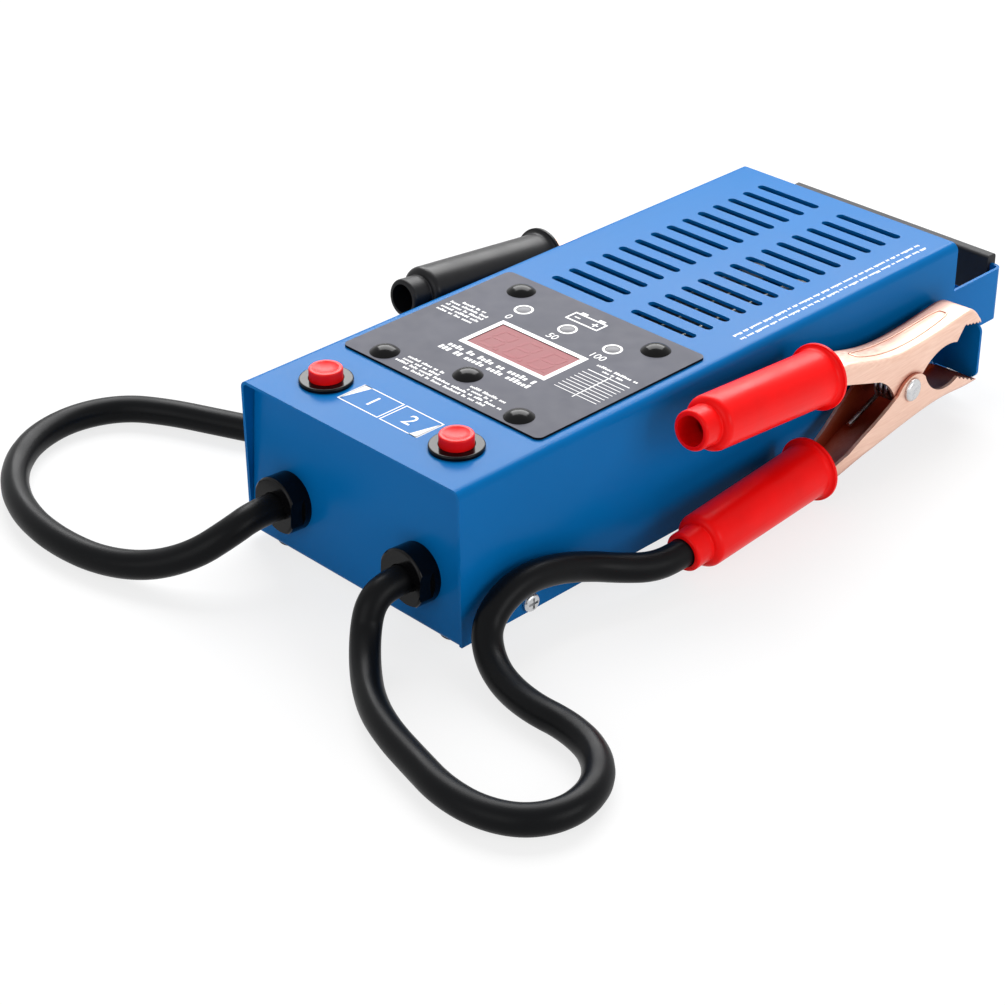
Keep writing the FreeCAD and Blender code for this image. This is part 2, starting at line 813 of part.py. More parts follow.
def build_floor_screws():
    screws = []
    for x, y in floor_screw_spots():
        screw = cross_screw(floor_screw_head, floor_screw_rise, floor_screw_radius, floor_screw_length)
        screw.Placement = FreeCAD.Placement(V(x, y, 0), FreeCAD.Rotation(X, 180))
        screws.append(screw)
    return Part.makeCompound(screws)


def build_gland(side):
    """Strain relief: round flatted head with a hood over the lead, locking collar inside the wall."""
    back = -sheet - seat_gap
    tail = back - gland_inside
    bore = lead_radius + lead_gap
    gland = spun([
        (bore, tail, 0), (gland_inside_radius - gland_bevel, tail, gland_bevel / 2),
        (gland_inside_radius, back, 0), (gland_neck, back, 0), (gland_neck, 0, 0), (gland_head, 0, 0),
        (gland_head, gland_length, gland_bevel), (bore, gland_length, 0),
    ])
    beyond = 2 * gland_head
    tall = (-beyond, beyond)
    outer = (gland_rim, gland_length + sheet)
    cuts = [box((gland_flat, beyond), tall, outer), box((-beyond, -gland_flat), tall, outer)]
    slot = (gland_length - gland_recess, gland_length + sheet)
    cuts.append(plate((-gland_mouth, gland_mouth), (-beyond, gland_hood), slot, gland_bevel))
    gland = gland.cut(cuts)
    gland.Placement = gland_place(side)
    return gland


def lug_start_y():
    """Front end of the lug barrels."""
    return relay_y - stud_spread / 2 - lug_tongue / 2 - lug_barrel


def build_inner_lead(side):
    """End of a lead inside the case, from the gland to its lug."""
    place = gland_place(side)
    start = place.multVec(V(0, 0, gland_length - gland_recess))
    past_button = front_wall_y(gland_z) - button_y - barrel_radius
    inside = place.multVec(V(0, 0, past_button))
    axis_z = relay_top + lead_radius + lug_wall
    end = V(side * gland_x, lug_start_y() + lug_barrel - lug_wall, axis_z)
    rise = V(side * gland_x, lug_start_y() - 2 * lead_radius, axis_z)
    points = [start, inside, rise, end]
    return tube_along(run_edges(points, widest_radii(points)), lead_radius)


def build_lug(side):
    """Crimped cable lug: barrel round the lead, flat tongue on the stud."""
    x = side * gland_x
    front = lug_start_y()
    axis = V(x, front, relay_top + lead_radius + lug_wall)
    stud_y = relay_y - stud_spread / 2
    half = lead_radius + lug_wall
    tongue = plate((x - half, x + half), (front + lug_barrel - lug_wall, stud_y + lug_tongue / 2),
                   (relay_top, relay_top + lug_thick), lug_wall)
    lug = rod(half, axis, Y, lug_barrel).fuse(tongue).removeSplitter()
    stud = rod(stud_radius + hole_gap, V(x, stud_y, relay_top - sheet), Z, 3 * lug_thick)
    return lug.cut([rod(lead_radius + seat_gap / 2, axis, Y, lug_barrel - lug_wall + seat_gap), stud])


def terminal_spots():
    """Studs: two on the relay, one on the terminal block."""
    front = relay_y - stud_spread / 2
    return [V(gland_x, front, relay_top), V(gland_x, relay_y + stud_spread / 2, relay_top),
            V(-gland_x, front, relay_top)]


def stud_sockets():
    return [rod(stud_radius + hole_gap, spot - Z * (stud_sunk + bar_thick), Z, 3 * stud_sunk)
            for spot in terminal_spots()]


def build_relay():
    across = (gland_x - relay_width / 2, gland_x + relay_width / 2)
    along = (relay_y - relay_length / 2, relay_y + relay_length / 2)
    body = plate(across, along, (sheet, relay_top), relay_round)
    return body.cut(screw_sockets() + stud_sockets())


def build_terminal_block():
    front = relay_y - stud_spread / 2
    across = (-gland_x - block_size / 2, -gland_x + block_size / 2)
    along = (front - block_size / 2, relay_y + block_size / 2)
    body = plate(across, along, (sheet, relay_top - bar_thick), relay_round)
    return body.cut(screw_sockets() + stud_sockets())


def build_terminal_studs():
    depth = stud_sunk + bar_thick
    studs = [rod(stud_radius, spot - Z * depth, Z, depth + stud_rise) for spot in terminal_spots()]
    return Part.makeCompound(studs)


def build_terminal_nuts():
    nuts = []
    for spot, rise in zip(terminal_spots(), (lug_thick, bar_thick, lug_thick)):
        foot = spot + Z * rise
        nut = hex_prism(terminal_nut_flats, terminal_nut_height, foot)
        nuts.append(nut.cut(rod(stud_radius + hole_gap, foot, Z, terminal_nut_height)))
    return Part.makeCompound(nuts)


def element_bolt_y():
    return ribbon_end_y + tab_reach / 2


def ribbon_low():
    return bar_top + fit_gap


def element_bolt_z():
    return ribbon_low() + ribbon_height / 2


def build_bar(side, front_y, low):
    """Copper bar from a stud to the upright tab that is bolted to the ribbon's end."""
    x = side * gland_x
    rear = ribbon_end_y + tab_reach
    flat = plate((x - bar_width / 2, x + bar_width / 2), (front_y - bar_width / 2, rear),
                 (low, low + bar_thick), bar_thick)
    face = side * (bar_x + ribbon_thick / 2)
    across = sorted((face, face + side * bar_thick))
    tab = box(across, (ribbon_end_y, rear), (ribbon_low(), low + bar_thick))
    bolt_start = V(across[0] - sheet, element_bolt_y(), element_bolt_z())
    bolt = rod(element_bolt_radius + hole_gap, bolt_start, X, 2 * bar_thick)
    stud = rod(stud_radius + hole_gap, V(x, front_y, low - sheet), Z, 2 * bar_thick)
    inner_side = sorted((0, across[0] if side > 0 else across[1]))
    beside_ribbon = box(inner_side, (ribbon_end_y - sheet, rear), (low, low + bar_thick))
    return flat.cut(beside_ribbon).fuse(tab).removeSplitter().cut([bolt, stud])


def build_ribbon():
    """Resistance ribbon on edge, folded back and forth between the ceramic bars."""
    low = ribbon_low()
    high = low + ribbon_height
    half = ribbon_thick / 2
    bend = ribbon_pitch / 2
    pieces = []
    for count in range(ribbon_passes):
        x = count * ribbon_pitch - bar_x
        outer_pass = count in (0, ribbon_passes - 1)
        front = ribbon_end_y if outer_pass else ribbon_front_y
        pieces.append(box((x - half, x + half), (front, ribbon_rear_y), (low, high)))
    for count in range(ribbon_passes - 1):
        x = (count + 0.5) * ribbon_pitch - bar_x
        at_rear = count % 2 == 0
        y = ribbon_rear_y if at_rear else ribbon_front_y
        middle = V(x, y, low)
        ring = rod(bend + half, middle, Z, ribbon_height).cut(rod(bend - half, middle, Z, ribbon_height))
        beyond = (y, y + 2 * bend) if at_rear else (y - 2 * bend, y)
        pieces.append(ring.common(box((x - 2 * bend, x + 2 * bend), beyond, (low, high))))
    ribbon = pieces[0].fuse(pieces[1:]).removeSplitter()
    start = V(-half_width, element_bolt_y(), element_bolt_z())
    return ribbon.cut(rod(element_bolt_radius + hole_gap, start, X, case_width))


def build_element_bars():
    """Ceramic bars with a peg inside each fold of the ribbon."""
    bars = []
    peg = ribbon_pitch / 2 - ribbon_thick / 2 - fit_gap
    height = fit_gap + ribbon_height + peg_rise
    for y, first in ((ribbon_front_y, 1), (ribbon_rear_y, 0)):
        bar = plate((-ceramic_width / 2, ceramic_width / 2), (y - ceramic_length / 2, y + ceramic_length / 2),
                    (sheet, bar_top), relay_round)
        pegs = []
        for count in range(first, ribbon_passes - 1, 2):
            pegs.append(rod(peg, V((count + 0.5) * ribbon_pitch - bar_x, y, bar_top), Z, height))
        bars.append(bar.fuse(pegs).removeSplitter().cut(screw_sockets()))
    return Part.makeCompound(bars)


def build_element_bolts():
    """Bolt and riveted-over end through each ribbon end and its bar."""
    grip = ribbon_thick + bar_thick
    top = grip + element_bolt_rise
    bolt = spun([
        (0, 0, 0), (element_bolt_radius, 0, 0), (element_bolt_radius, grip, 0), (element_bolt_head, grip, 0),
        (element_bolt_head, top, element_bolt_rise / 3), (0, top, 0),
    ])
    tail = rod(element_bolt_head, V(0, 0, -element_bolt_rise), Z, element_bolt_rise)
    bolt = bolt.fuse(tail).removeSplitter()
    spot = V(bar_x - ribbon_thick / 2, element_bolt_y(), element_bolt_z())
    bolt.Placement = FreeCAD.Placement(spot, FreeCAD.Rotation(Y, 90))
    return both_sides(bolt)


def local(y, z, x=0.0):
    """Point in a clamp's frame from its reach and height."""
    return V(x, y, z)


def handle_point(collar, rise, along, height):
    """Point on a handle: along from the collar away from the pivot, height across the handle."""
    angle = math.radians(rise)
    reach = collar[0] - along * math.cos(angle) - height * math.sin(angle)
    return reach, collar[1] + along * math.sin(angle) + height * math.cos(angle)


def teeth(start, end):
    """Saw-tooth line between two points of a jaw's edge."""
    points = []
    for count in range(tooth_count):
        share = count / tooth_count
        middle = (count + 0.5) / tooth_count
        points.append(start + (end - start) * share)
        drop = V(0, 0, tooth_depth) if start.z > 0 else V(0, 0, -tooth_depth)
        points.append(start + (end - start) * middle + drop)
    points.append(end)
    return points


def polyline(points):
    return [Part.LineSegment(one, two).toShape() for one, two in zip(points, points[1:])]


def neck_plan(half_front, half_rear, low, high):
    """Plan of a clamp half: wide jaw, S-shaped neck, narrow handle, as an upright prism."""
    rear = lower_collar[0] - sleeve_length
    tip = jaw_reach + clamp_sheet
    run = (clamp_neck_front - clamp_neck_rear) / 2
    drop = (half_front - half_rear) / 2
    bend = (run * run + drop * drop) / (2 * drop)
    half_turn = math.asin(run / bend) / 2
    sag = bend * (1 - math.cos(half_turn))
    reach = bend * math.sin(half_turn)
    middle = V((half_front + half_rear) / 2, (clamp_neck_front + clamp_neck_rear) / 2, low)
    sides = []
    for side in (1, -1):
        def at(x, y):
            return V(side * x, y, low)
        bow = at(half_front - sag, clamp_neck_front - reach)
        hollow = at(half_rear + sag, clamp_neck_rear + reach)
        sides.append([
            Part.LineSegment(at(half_front, tip), at(half_front, clamp_neck_front)).toShape(),
            Part.Arc(at(half_front, clamp_neck_front), bow, at(middle.x, middle.y)).toShape(),
            Part.Arc(at(middle.x, middle.y), hollow, at(half_rear, clamp_neck_rear)).toShape(),
            Part.LineSegment(at(half_rear, clamp_neck_rear), at(half_rear, rear)).toShape(),
        ])
    ends = [Part.LineSegment(V(-half_rear, rear, low), V(half_rear, rear, low)).toShape(),
            Part.LineSegment(V(-half_front, tip, low), V(half_front, tip, low)).toShape()]
    wire = Part.Wire(Part.__sortEdges__(sides[0] + sides[1] + ends))
    return Part.Face(wire).extrude(Z * (high - low))


def web_edges(web):
    """Straight handle and the curve that runs on from it to the tip."""
    handle = (web[1] - web[0]).normalize()
    nose = (web[-1] - web[-2]).normalize()
    curve = Part.BSplineCurve()
    curve.interpolate(Points=web[1:], InitialTangent=handle, FinalTangent=nose)
    return [Part.LineSegment(web[0], web[1]).toShape(), curve.toShape()]


def clamp_half(web, wall_edges, half_front, half_rear, inward):
    """Channel folded from sheet: web curve, wall outline, neck plan and rounded folds."""
    skin = web_edges(web)
    reach = V(clamp_width, 0, 0)
    face = Part.Face(Part.Wire(Part.__sortEdges__(skin + wall_edges)))
    side = face.translated(reach * -0.5).extrude(reach)
    tall = 3 * jaw_reach
    outer = side.common(neck_plan(half_front, half_rear, -tall, tall))
    line = Part.Wire(skin)
    folds = []
    for edge in outer.Edges:
        middle = edge.valueAt((edge.FirstParameter + edge.LastParameter) / 2)
        lengthwise = abs(edge.tangentAt(edge.FirstParameter).x) < 0.5
        if lengthwise and line.distToShape(Part.Vertex(0, middle.y, middle.z))[0] < 1e-3:
            folds.append(edge)
    outer = outer.makeFillet(clamp_fold, folds)
    lift = V(0, 0, inward * clamp_sheet)
    far = V(0, 0, inward * jaw_reach)
    ends = [web[0] + lift, web[0] + far, web[-1] + far, web[-1] + lift]
    inner = [edge.translated(lift) for edge in skin] + polyline(ends)
    hollow = Part.Face(Part.Wire(Part.__sortEdges__(inner)))
    hollow = hollow.translated(reach * -0.5).extrude(reach)
    return outer.cut(hollow.common(neck_plan(half_front - clamp_sheet, half_rear - clamp_sheet, -tall, tall)))


def build_upper_jaw():
    """Upper half: web on top, walls inside those of the lower half."""
    deep = sleeve_length - handle_inset
    rear_top = local(*handle_point(upper_collar, upper_rise, deep, handle_depth))
    rear_low = local(*handle_point(upper_collar, upper_rise, deep, -clamp_sheet))
    front_top = local(*handle_point(upper_collar, upper_rise, 0, handle_depth))
    front_low = local(*handle_point(upper_collar, upper_rise, 0, -clamp_sheet))
    web = [
        rear_top, front_top, local(-0.3 * jaw_reach, upper_web + 2.0), local(0.1 * jaw_reach, upper_web),
        local(0.43 * jaw_reach, upper_web + 0.3), local(0.74 * jaw_reach, upper_web + 1.0),
        local(0.91 * jaw_reach, upper_web - 0.4), local(jaw_reach, upper_tip + clamp_sheet),
    ]
    tip = local(jaw_reach - clamp_sheet, upper_tip)
    notch = local(0.73 * jaw_reach, 0.78 * upper_web)
    tooth = local(0.64 * jaw_reach, 0.47 * upper_web)
    waist = local(1.5 * lug_radius, 0.4 * lug_radius)
    heel = local(-1.7 * lug_radius, 0.1 * lug_radius)
    hip = local(-0.4 * jaw_reach, 0.64 * upper_web)
    edge = polyline([web[-1], tip]) + polyline(teeth(tip, notch)) + polyline([notch, tooth])
    edge.append(Part.Arc(tooth, local(0.44 * jaw_reach, 0.55 * upper_web), waist).toShape())
    edge.append(Part.Arc(waist, local(0, -lug_radius), heel).toShape())
    edge.append(Part.Arc(heel, local(-0.27 * jaw_reach, 0.36 * upper_web), hip).toShape())
    edge += polyline([hip, front_low, rear_low, rear_top])
    half = clamp_width / 2 - clamp_sheet - half_gap
    jaw = clamp_half(web, edge, half, handle_width / 2, -1)
    return jaw.cut(rod(rivet_radius + pin_gap, V(-clamp_width, 0, 0), X, 2 * clamp_width))


def build_lower_jaw():
    """Lower half: web below, walls outside, carries the rivet and the lead."""
    deep = sleeve_length - handle_inset
    rear_low = local(*handle_point(lower_collar, lower_rise, deep, -handle_depth))
    rear_top = local(*handle_point(lower_collar, lower_rise, deep, clamp_sheet))
    front_low = local(*handle_point(lower_collar, lower_rise, 0, -handle_depth))
    front_top = local(*handle_point(lower_collar, lower_rise, 0, clamp_sheet))
    web = [
        rear_low, front_low, local(-0.39 * jaw_reach, lower_web - 2.4), local(0.04 * jaw_reach, lower_web),
        local(0.52 * jaw_reach, lower_web + 0.6), local(0.83 * jaw_reach, lower_web - 0.8),
        local(jaw_reach - clamp_sheet, lower_tip - clamp_sheet),
    ]
    tip = local(jaw_reach - 2 * clamp_sheet, lower_tip)
    tooth = local(0.65 * jaw_reach, 0.5 * lower_web)
    waist = local(1.6 * lug_radius, 0.37 * lug_radius)
    heel = local(-1.5 * lug_radius, 0.12 * lug_radius)
    edge = polyline([web[-1], tip]) + polyline(teeth(tip, tooth))
    edge.append(Part.Arc(tooth, local(0.42 * jaw_reach, 0.57 * lower_web), waist).toShape())
    edge.append(Part.Arc(waist, local(0, lug_radius), heel).toShape())
    edge += polyline([heel, local(-0.74 * jaw_reach, 0.94 * lower_web), front_top, rear_top, rear_low])
    jaw = clamp_half(web, edge, clamp_width / 2, handle_width / 2, 1)
    return jaw.cut(rod(rivet_radius, V(-clamp_width, 0, 0), X, 2 * clamp_width))


def build_pivot_rivet():
    """Rivet through both halves, headed outside the walls."""
    half = clamp_width / 2
    rivet = rod(rivet_radius, V(0, 0, -half), Z, clamp_width)
    head = spun([
        (0, half, 0), (rivet_cap, half, 0), (rivet_cap, half + rivet_cap_rise, rivet_cap_rise * 0.7),
        (0, half + rivet_cap_rise, 0),
    ])
    rivet = rivet.fuse([head, head.mirror(V(), Z)]).removeSplitter()
    rivet.Placement = FreeCAD.Placement(V(), FreeCAD.Rotation(Y, 90))
    return rivet


def build_clamp_spring():
    """Torsion spring round the rivet, its legs along the two handles."""
    turns = spring_turns + (180 - 2 * spring_spread) / 360
    first_angle = math.radians(spring_spread)
    edges = helix_edges(spring_radius, spring_pitch, turns, first_angle, spring_leg, spring_leg)
    print_coil_gap("clamp spring", edges, spring_wire, 8)
    spring = tube_along(edges, spring_wire / 2)
    spring.translate(V(0, 0, -spring_pitch * turns / 2))
    spring.Placement = FreeCAD.Placement(V(), FreeCAD.Rotation(Y, 90)).multiply(spring.Placement)
    return spring


def build_sleeve(collar, rise):
    """Soft handle sleeve: flared collar, round body, stepped nozzle."""
    end = sleeve_length
    shoulder = end - nozzle_length
    inner = shoulder - nozzle_shoulder
    bore = lead_radius + lead_gap
    sleeve = spun([
        (sleeve_bore, 0, 0), (collar_radius, 0, collar_thick / 4),
        (collar_radius, collar_thick, collar_thick / 4), (sleeve_radius, collar_thick, collar_flare),
        (sleeve_radius - sleeve_taper, shoulder, sleeve_round),
        (nozzle_radius, shoulder, nozzle_shoulder / 4), (nozzle_radius, end, nozzle_shoulder / 2),
        (bore, end, 0), (bore, inner, 0), (sleeve_bore, inner, 0),
    ])
    sleeve.Placement = FreeCAD.Placement(local(*collar), handle_turn(rise))
    return sleeve


def handle_turn(rise):
    """Turns Z to a handle's direction, away from the pivot."""
    return FreeCAD.Rotation(X, 90 - rise)


def build_ferrule():
    """Crimped end of the lead in the lower half's channel."""
    radius = handle_depth - clamp_sheet - seat_gap
    start = local(*handle_point(lower_collar, lower_rise, sleeve_length - lead_in - ferrule_length, 0))
    return rod(radius, start, handle_turn(lower_rise).multVec(Z), ferrule_length)


def clamp_place(colour):
    """Frame of a clamp parked on its ear, on the right side of the case."""
    yaw = math.radians(clamp_yaw[colour])
    back = jaw_reach
    tip_y = ear_y + hook_depth
    spot = V(clamp_tip_x[colour] + back * math.sin(yaw), tip_y - back * math.cos(yaw), pivot_z)
    return FreeCAD.Placement(spot, FreeCAD.Rotation(Z, clamp_yaw[colour]))


def save_clamp(colour, side):
    """All pieces of one clamp."""
    pieces = {
        "upper_jaw": build_upper_jaw(),
        "lower_jaw": build_lower_jaw(),
        "pivot_rivet": build_pivot_rivet(),
        "clamp_spring": build_clamp_spring(),
        "upper_sleeve": build_sleeve(upper_collar, upper_rise),
        "lower_sleeve": build_sleeve(lower_collar, lower_rise),
        "ferrule": build_ferrule(),
    }
    place = clamp_place(colour)
    for name, shape in pieces.items():
        shape.Placement = place.multiply(shape.Placement)
        save(colour + "_" + name, shape if side > 0 else mirrored(shape))
    pivot = place.Base + row_shift
    axis = place.Rotation.multVec(X)
    print(colour, "pivot", side * round(pivot.x, 3), round(pivot.y, 3), round(pivot.z, 3),
          "axis", round(axis.x, 5), side * round(axis.y, 5))


def build_lead(colour, side, route):
    """Lead from its gland along the route into the clamp's lower sleeve."""
    gland_floor = gland_length - gland_recess
    start = gland_place(side).multVec(V(0, 0, gland_floor)) + row_shift
    first = gland_place(side).multVec(V(0, 0, gland_floor + lead_run[colour])) + row_shift
    place = clamp_place(colour)
    inside = place.multVec(local(*handle_point(lower_collar, lower_rise, sleeve_length - lead_in, 0)))
    mouth = place.multVec(local(*handle_point(lower_collar, lower_rise, sleeve_length + lead_straight, 0)))
    ends = []
    for point in (mouth, inside):
        ends.append(V(side * point.x, point.y, point.z) + row_shift)
    points = [start, first] + [V(*point) for point in route] + ends
    radii = widest_radii(points)
    edges = run_edges(points, radii)
    tube = tube_along(edges, lead_radius)
    length = sum(edge.Length for edge in edges)
    share = tube.Volume / (math.pi * lead_radius ** 2 * length)
    lowest = tube.optimalBoundingBox(False, False).ZMin
    print(colour, "lead length", round(length, 1), "volume share", round(share, 4))
    print(colour, "lead lowest point", round(lowest, 2))
    print(colour, "lead radii", [round(radius, 1) for radius in radii[1:-1]])
    for point in (start, first, ends[0], ends[1]):
        print(colour, "lead end", [round(value, 2) for value in point])
    return tube.translated(row_shift * -1)


save("cover", build_cover())
save("base", build_base())
save("handle_grip", build_grip())
save("label_plate", build_label_plate())
save("plate_rivets", build_plate_rivets())
save("board_spacers", build_board_spacers())
save("display_window", build_window())
save("display_module", build_display())
save("circuit_board", build_board())
save("board_chip", build_chip())
save("board_capacitors", build_capacitors())
for lamp_name, lamp_x in zip(("left", "middle", "right"), lamp_spots):
    save(lamp_name + "_lamp", build_lamp(lamp_x))

button_pieces = {
    "button_cap": build_button_cap(),
    "button_body": build_button_body(),
    "button_nut": build_button_nut(),
    "button_spring": build_button_spring(),
}
for piece_name, piece in button_pieces.items():
    save("right_" + piece_name, piece)
    save("left_" + piece_name, mirrored(piece))
save("button_tabs", build_button_tabs())

save("cover_screws", build_cover_screws())
save("feet", build_feet())
save("floor_screws", build_floor_screws())
save("relay", build_relay())
save("terminal_block", build_terminal_block())
save("terminal_studs", build_terminal_studs())
save("terminal_nuts", build_terminal_nuts())
save("feed_bar", build_bar(1, relay_y + stud_spread / 2, relay_top))
save("return_bar", build_bar(-1, relay_y - stud_spread / 2, relay_top - bar_thick))
save("load_ribbon", build_ribbon())
save("element_bars", build_element_bars())
save("element_bolts", build_element_bolts())

for lead_colour, lead_side, lead_route in (("red", 1, red_route), ("black", -1, black_route)):
    save(lead_colour + "_gland", build_gland(lead_side))
    save(lead_colour + "_inner_lead", build_inner_lead(lead_side))
    save(lead_colour + "_lug", build_lug(lead_side))
    save(lead_colour + "_lead", build_lead(lead_colour, lead_side, lead_route))
    save_clamp(lead_colour, lead_side)
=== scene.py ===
import json
import math
import random

import bmesh
import bpy
from mathutils import Matrix, Vector
from mathutils.bvhtree import BVHTree


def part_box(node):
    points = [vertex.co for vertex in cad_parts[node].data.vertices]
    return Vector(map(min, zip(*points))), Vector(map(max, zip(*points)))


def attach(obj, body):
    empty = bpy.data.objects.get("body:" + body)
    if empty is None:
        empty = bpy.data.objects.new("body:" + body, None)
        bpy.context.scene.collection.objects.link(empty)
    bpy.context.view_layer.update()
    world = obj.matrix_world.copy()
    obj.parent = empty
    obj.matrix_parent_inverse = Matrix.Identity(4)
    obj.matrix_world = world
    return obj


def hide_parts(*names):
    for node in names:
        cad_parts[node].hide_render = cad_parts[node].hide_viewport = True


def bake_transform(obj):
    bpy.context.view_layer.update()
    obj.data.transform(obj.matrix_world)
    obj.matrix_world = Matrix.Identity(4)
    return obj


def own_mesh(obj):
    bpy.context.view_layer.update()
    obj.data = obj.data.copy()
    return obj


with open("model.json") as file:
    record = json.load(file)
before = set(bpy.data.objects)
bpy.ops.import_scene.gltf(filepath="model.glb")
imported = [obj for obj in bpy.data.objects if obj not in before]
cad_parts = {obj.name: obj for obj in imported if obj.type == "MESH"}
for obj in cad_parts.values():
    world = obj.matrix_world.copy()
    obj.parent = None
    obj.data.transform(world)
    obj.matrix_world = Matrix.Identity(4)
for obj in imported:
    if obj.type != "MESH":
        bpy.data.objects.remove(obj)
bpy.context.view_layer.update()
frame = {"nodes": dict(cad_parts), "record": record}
nodes = frame["nodes"]
MM = 0.001

# Camera, fitted to the edges of the case: angles in degrees, lens and sensor in millimetres
CAMERA_AZIMUTH = 45.851
CAMERA_ELEVATION = 30.964
CAMERA_ROLL = -0.483
CAMERA_DISTANCE = 969.449 * MM
CAMERA_TARGET = Vector((-84.936, 10.216, -65.332)) * MM
LENS = 86.891
SENSOR = 36.0

# Light: name, place and size in metres, power in watts
LIGHT_AIM = (0, 0, 0.03)
LIGHTS = [
    ("key", (-0.63, 0.66, 0.96), (1.3, 1.0), 34),
    ("front_fill", (0.2, -1.4, 0.7), (1.1, 0.8), 4.6),
    ("right_fill", (1.5, 0.2, 0.6), (1.0, 0.7), 8),
]
SURROUNDINGS = 0.32     # strength of the surroundings as a source of light
WHITE = (1, 1, 1, 1)

# Floor, in metres
FLOOR_SIZE = 12.0
FLOOR_COLOUR = (0.9, 0.9, 0.9, 1)
FLOOR_ROUGH = 0.9
FLOOR_SHEEN = 0.1
FADE_NEAR = 0.3         # the floor turns plain white between these distances
FADE_FAR = 0.9
NEAR_SHARE = 0.78       # share of plain white close to the object

# Printed ink, in millimetres
INK = 0.04              # thickness
LINE = 0.4              # width of a drawn line
LETTER = 1.3            # height of the ticks that stand for small print
HEADING = 2.4           # height of the larger ticks
TICK_WIDE = 0.5         # share of the height
TICK_STEP = 0.74
TICK_TALL = (0.7, 0.7, 1.0)
WORD = (2, 8)           # ticks in a word

# Print on the label plate, in millimetres; heights are from the plate's middle
PLATE_SEED = 7
WINDOW_RIM = 2.1        # white frame round the display window
WINDOW_GAP = 0.15       # bare line between the frame and the window
RING_INSIDE = 2.65      # white ring round a lamp
RING = 0.85
RING_POINTS = 48
LAMP_NUMBER_DROP = 7.4  # number's middle below the lamp's
LAMP_NUMBER_SIZE = 4.6
SIDE_ROW = 10.4         # first row of the print at the left
SIDE_PITCH = 2.2
PLATE_ROWS = [          # both ends, height, letter
    (-20.8, 20.2, -14.0, HEADING), (-22.0, 22.4, -17.3, HEADING),
    (-39.8, -28.2, SIDE_ROW, LETTER),
    *[(-43.6, -24.8, SIDE_ROW - SIDE_PITCH * count, LETTER) for count in range(1, 5)],
    (-23.6, 23.2, -30.0, LETTER), (-23.8, 18.6, -32.1, LETTER),
    (-25.3, 24.8, -34.1, LETTER), (-19.4, 19.2, -36.2, LETTER),
]
RIVET_GAP = (-6.2, 6.2)         # bare stretch of the rows beside the middle rivet
RIVET_ROWS = (-32.5, -19.0)     # heights between which a row has that stretch
CHART_LETTER = LETTER * 0.8
CHART_TITLES = [(25.2, 43.3, 9.6, LETTER), (29.6, 38.8, 7.4, CHART_LETTER)]
CHART_SPAN = (24.6, 43.5)
CHART_TOP = 2.9         # first of the level lines
CHART_PITCH = 1.87
CHART_LINES = 8
CHART_HALF_LINE = 0.14
CHART_BARS = [(25.0, 43.6, 5.0, 5.4), (34.2, 34.6, -12.0, 6.4)]     # both sides, bottom, top

# Battery sign on the label plate, in millimetres
SIGN_X = 0.5
SIGN_Y = 30.2
SIGN_WIDE = 7.5         # half of the box
SIGN_TALL = 3.2
SIGN_LID = 0.6          # room left above the box
SIGN_LINE = 0.7
POST_PLACE = 0.55       # share of the half box
POST_HALF = 1.4
POST_SPAN = (-0.5, 0.7)         # from that room's top
DASH_HALF = 1.3
DASH_SPAN = (-0.65, -0.05)      # from the sign's middle
PLUS_HALF = 0.3
PLUS_ARM = 1.0

# Numerals of the display, in millimetres
DIGIT_PITCH = 11.4
DIGIT_WIDE = 6.6
DIGIT_TALL = 5.9
DIGIT_BAR = 1.35
DIGIT_GAP = 0.7
DIGIT_LEAN = 0.13
DOT_ASIDE = 1.7
DOT_HALF = 0.7

# Print on the cover, in millimetres; boxes are placed from the buttons
COVER_SEED = 11
COVER_SHEET = 1.5
BOX_LOW = 4.9           # lower and upper edge
BOX_HIGH = 7.3
BOX_START = 11.3        # outer ends
BOX_END = 13.6
BOX_SPLIT = -0.8        # inner end of the first box, from the case's middle
BOX_GAP = 0.9
WEDGE = 3.4             # wide end of the pointer at a button's box
WEDGE_TIP = 0.1
BOX_NUMBER_SIZE = 8.5
BOX_NUMBER_SHIFT = 0.6
EDGE_ROWS = (42.4, 45.6)        # rows along the right edge, from the case's middle
EDGE_SPAN = (-4.0, 98.0)
EDGE_LETTER = LETTER * 0.9

# Oval bead on the web of each clamp's upper half, in millimetres from the pivot
CLAMP_YAW = {"red": 3.0, "black": 0.0}      # degrees
BEAD_MIDDLE = 3.0
BEAD_LONG = 56.0
BEAD_WIDE = 6.4
BEAD_RADIUS = 0.4
BEAD_POINTS = 120
BEAD_SIDES = 8
BEAD_ROUNDING = 0.4     # power that squares the oval's ends
BEAD_DROP = 100.0       # height above the pivot from which the line is laid down

# Leads: control points in millimetres, as in the solid model, from the gland to the clamp
LEAD_RADIUS = 5.0
LEAD_ROUNDNESS = 8
LEAD_STEPS = 12
LEAD_ORDER = 3
RED_ROUTE = [
    (31.0, -144.24, 22.39), (31.0, -152.31, 23.03),
    (31.0, -159.6, 19.9), (32.5, -163.8, 11.5), (43.0, -173.4, 5.6),
    (57.0, -183.0, 5.2), (71.5, -188.8, 5.2), (86.0, -192.4, 5.2), (101.9, -196.2, 5.2),
    (117.5, -195.4, 5.2), (129.5, -188.8, 5.2), (135.0, -176.5, 5.2), (131.5, -161.8, 5.2),
    (120.5, -151.8, 5.2), (106.0, -148.2, 5.2), (91.0, -149.3, 5.2), (76.8, -146.8, 5.4),
    (66.0, -142.4, 7.6), (59.4, -137.6, 13.2), (58.4, -130.0, 19.8), (58.4, -119.0, 22.6),
    (58.7, -106.0, 20.6), (60.4, -93.0, 16.4), (64.6, -82.0, 12.6), (69.2, -72.5, 10.6),
    (70.47, -62.6, 10.26), (69.79, -49.62, 10.6),
]
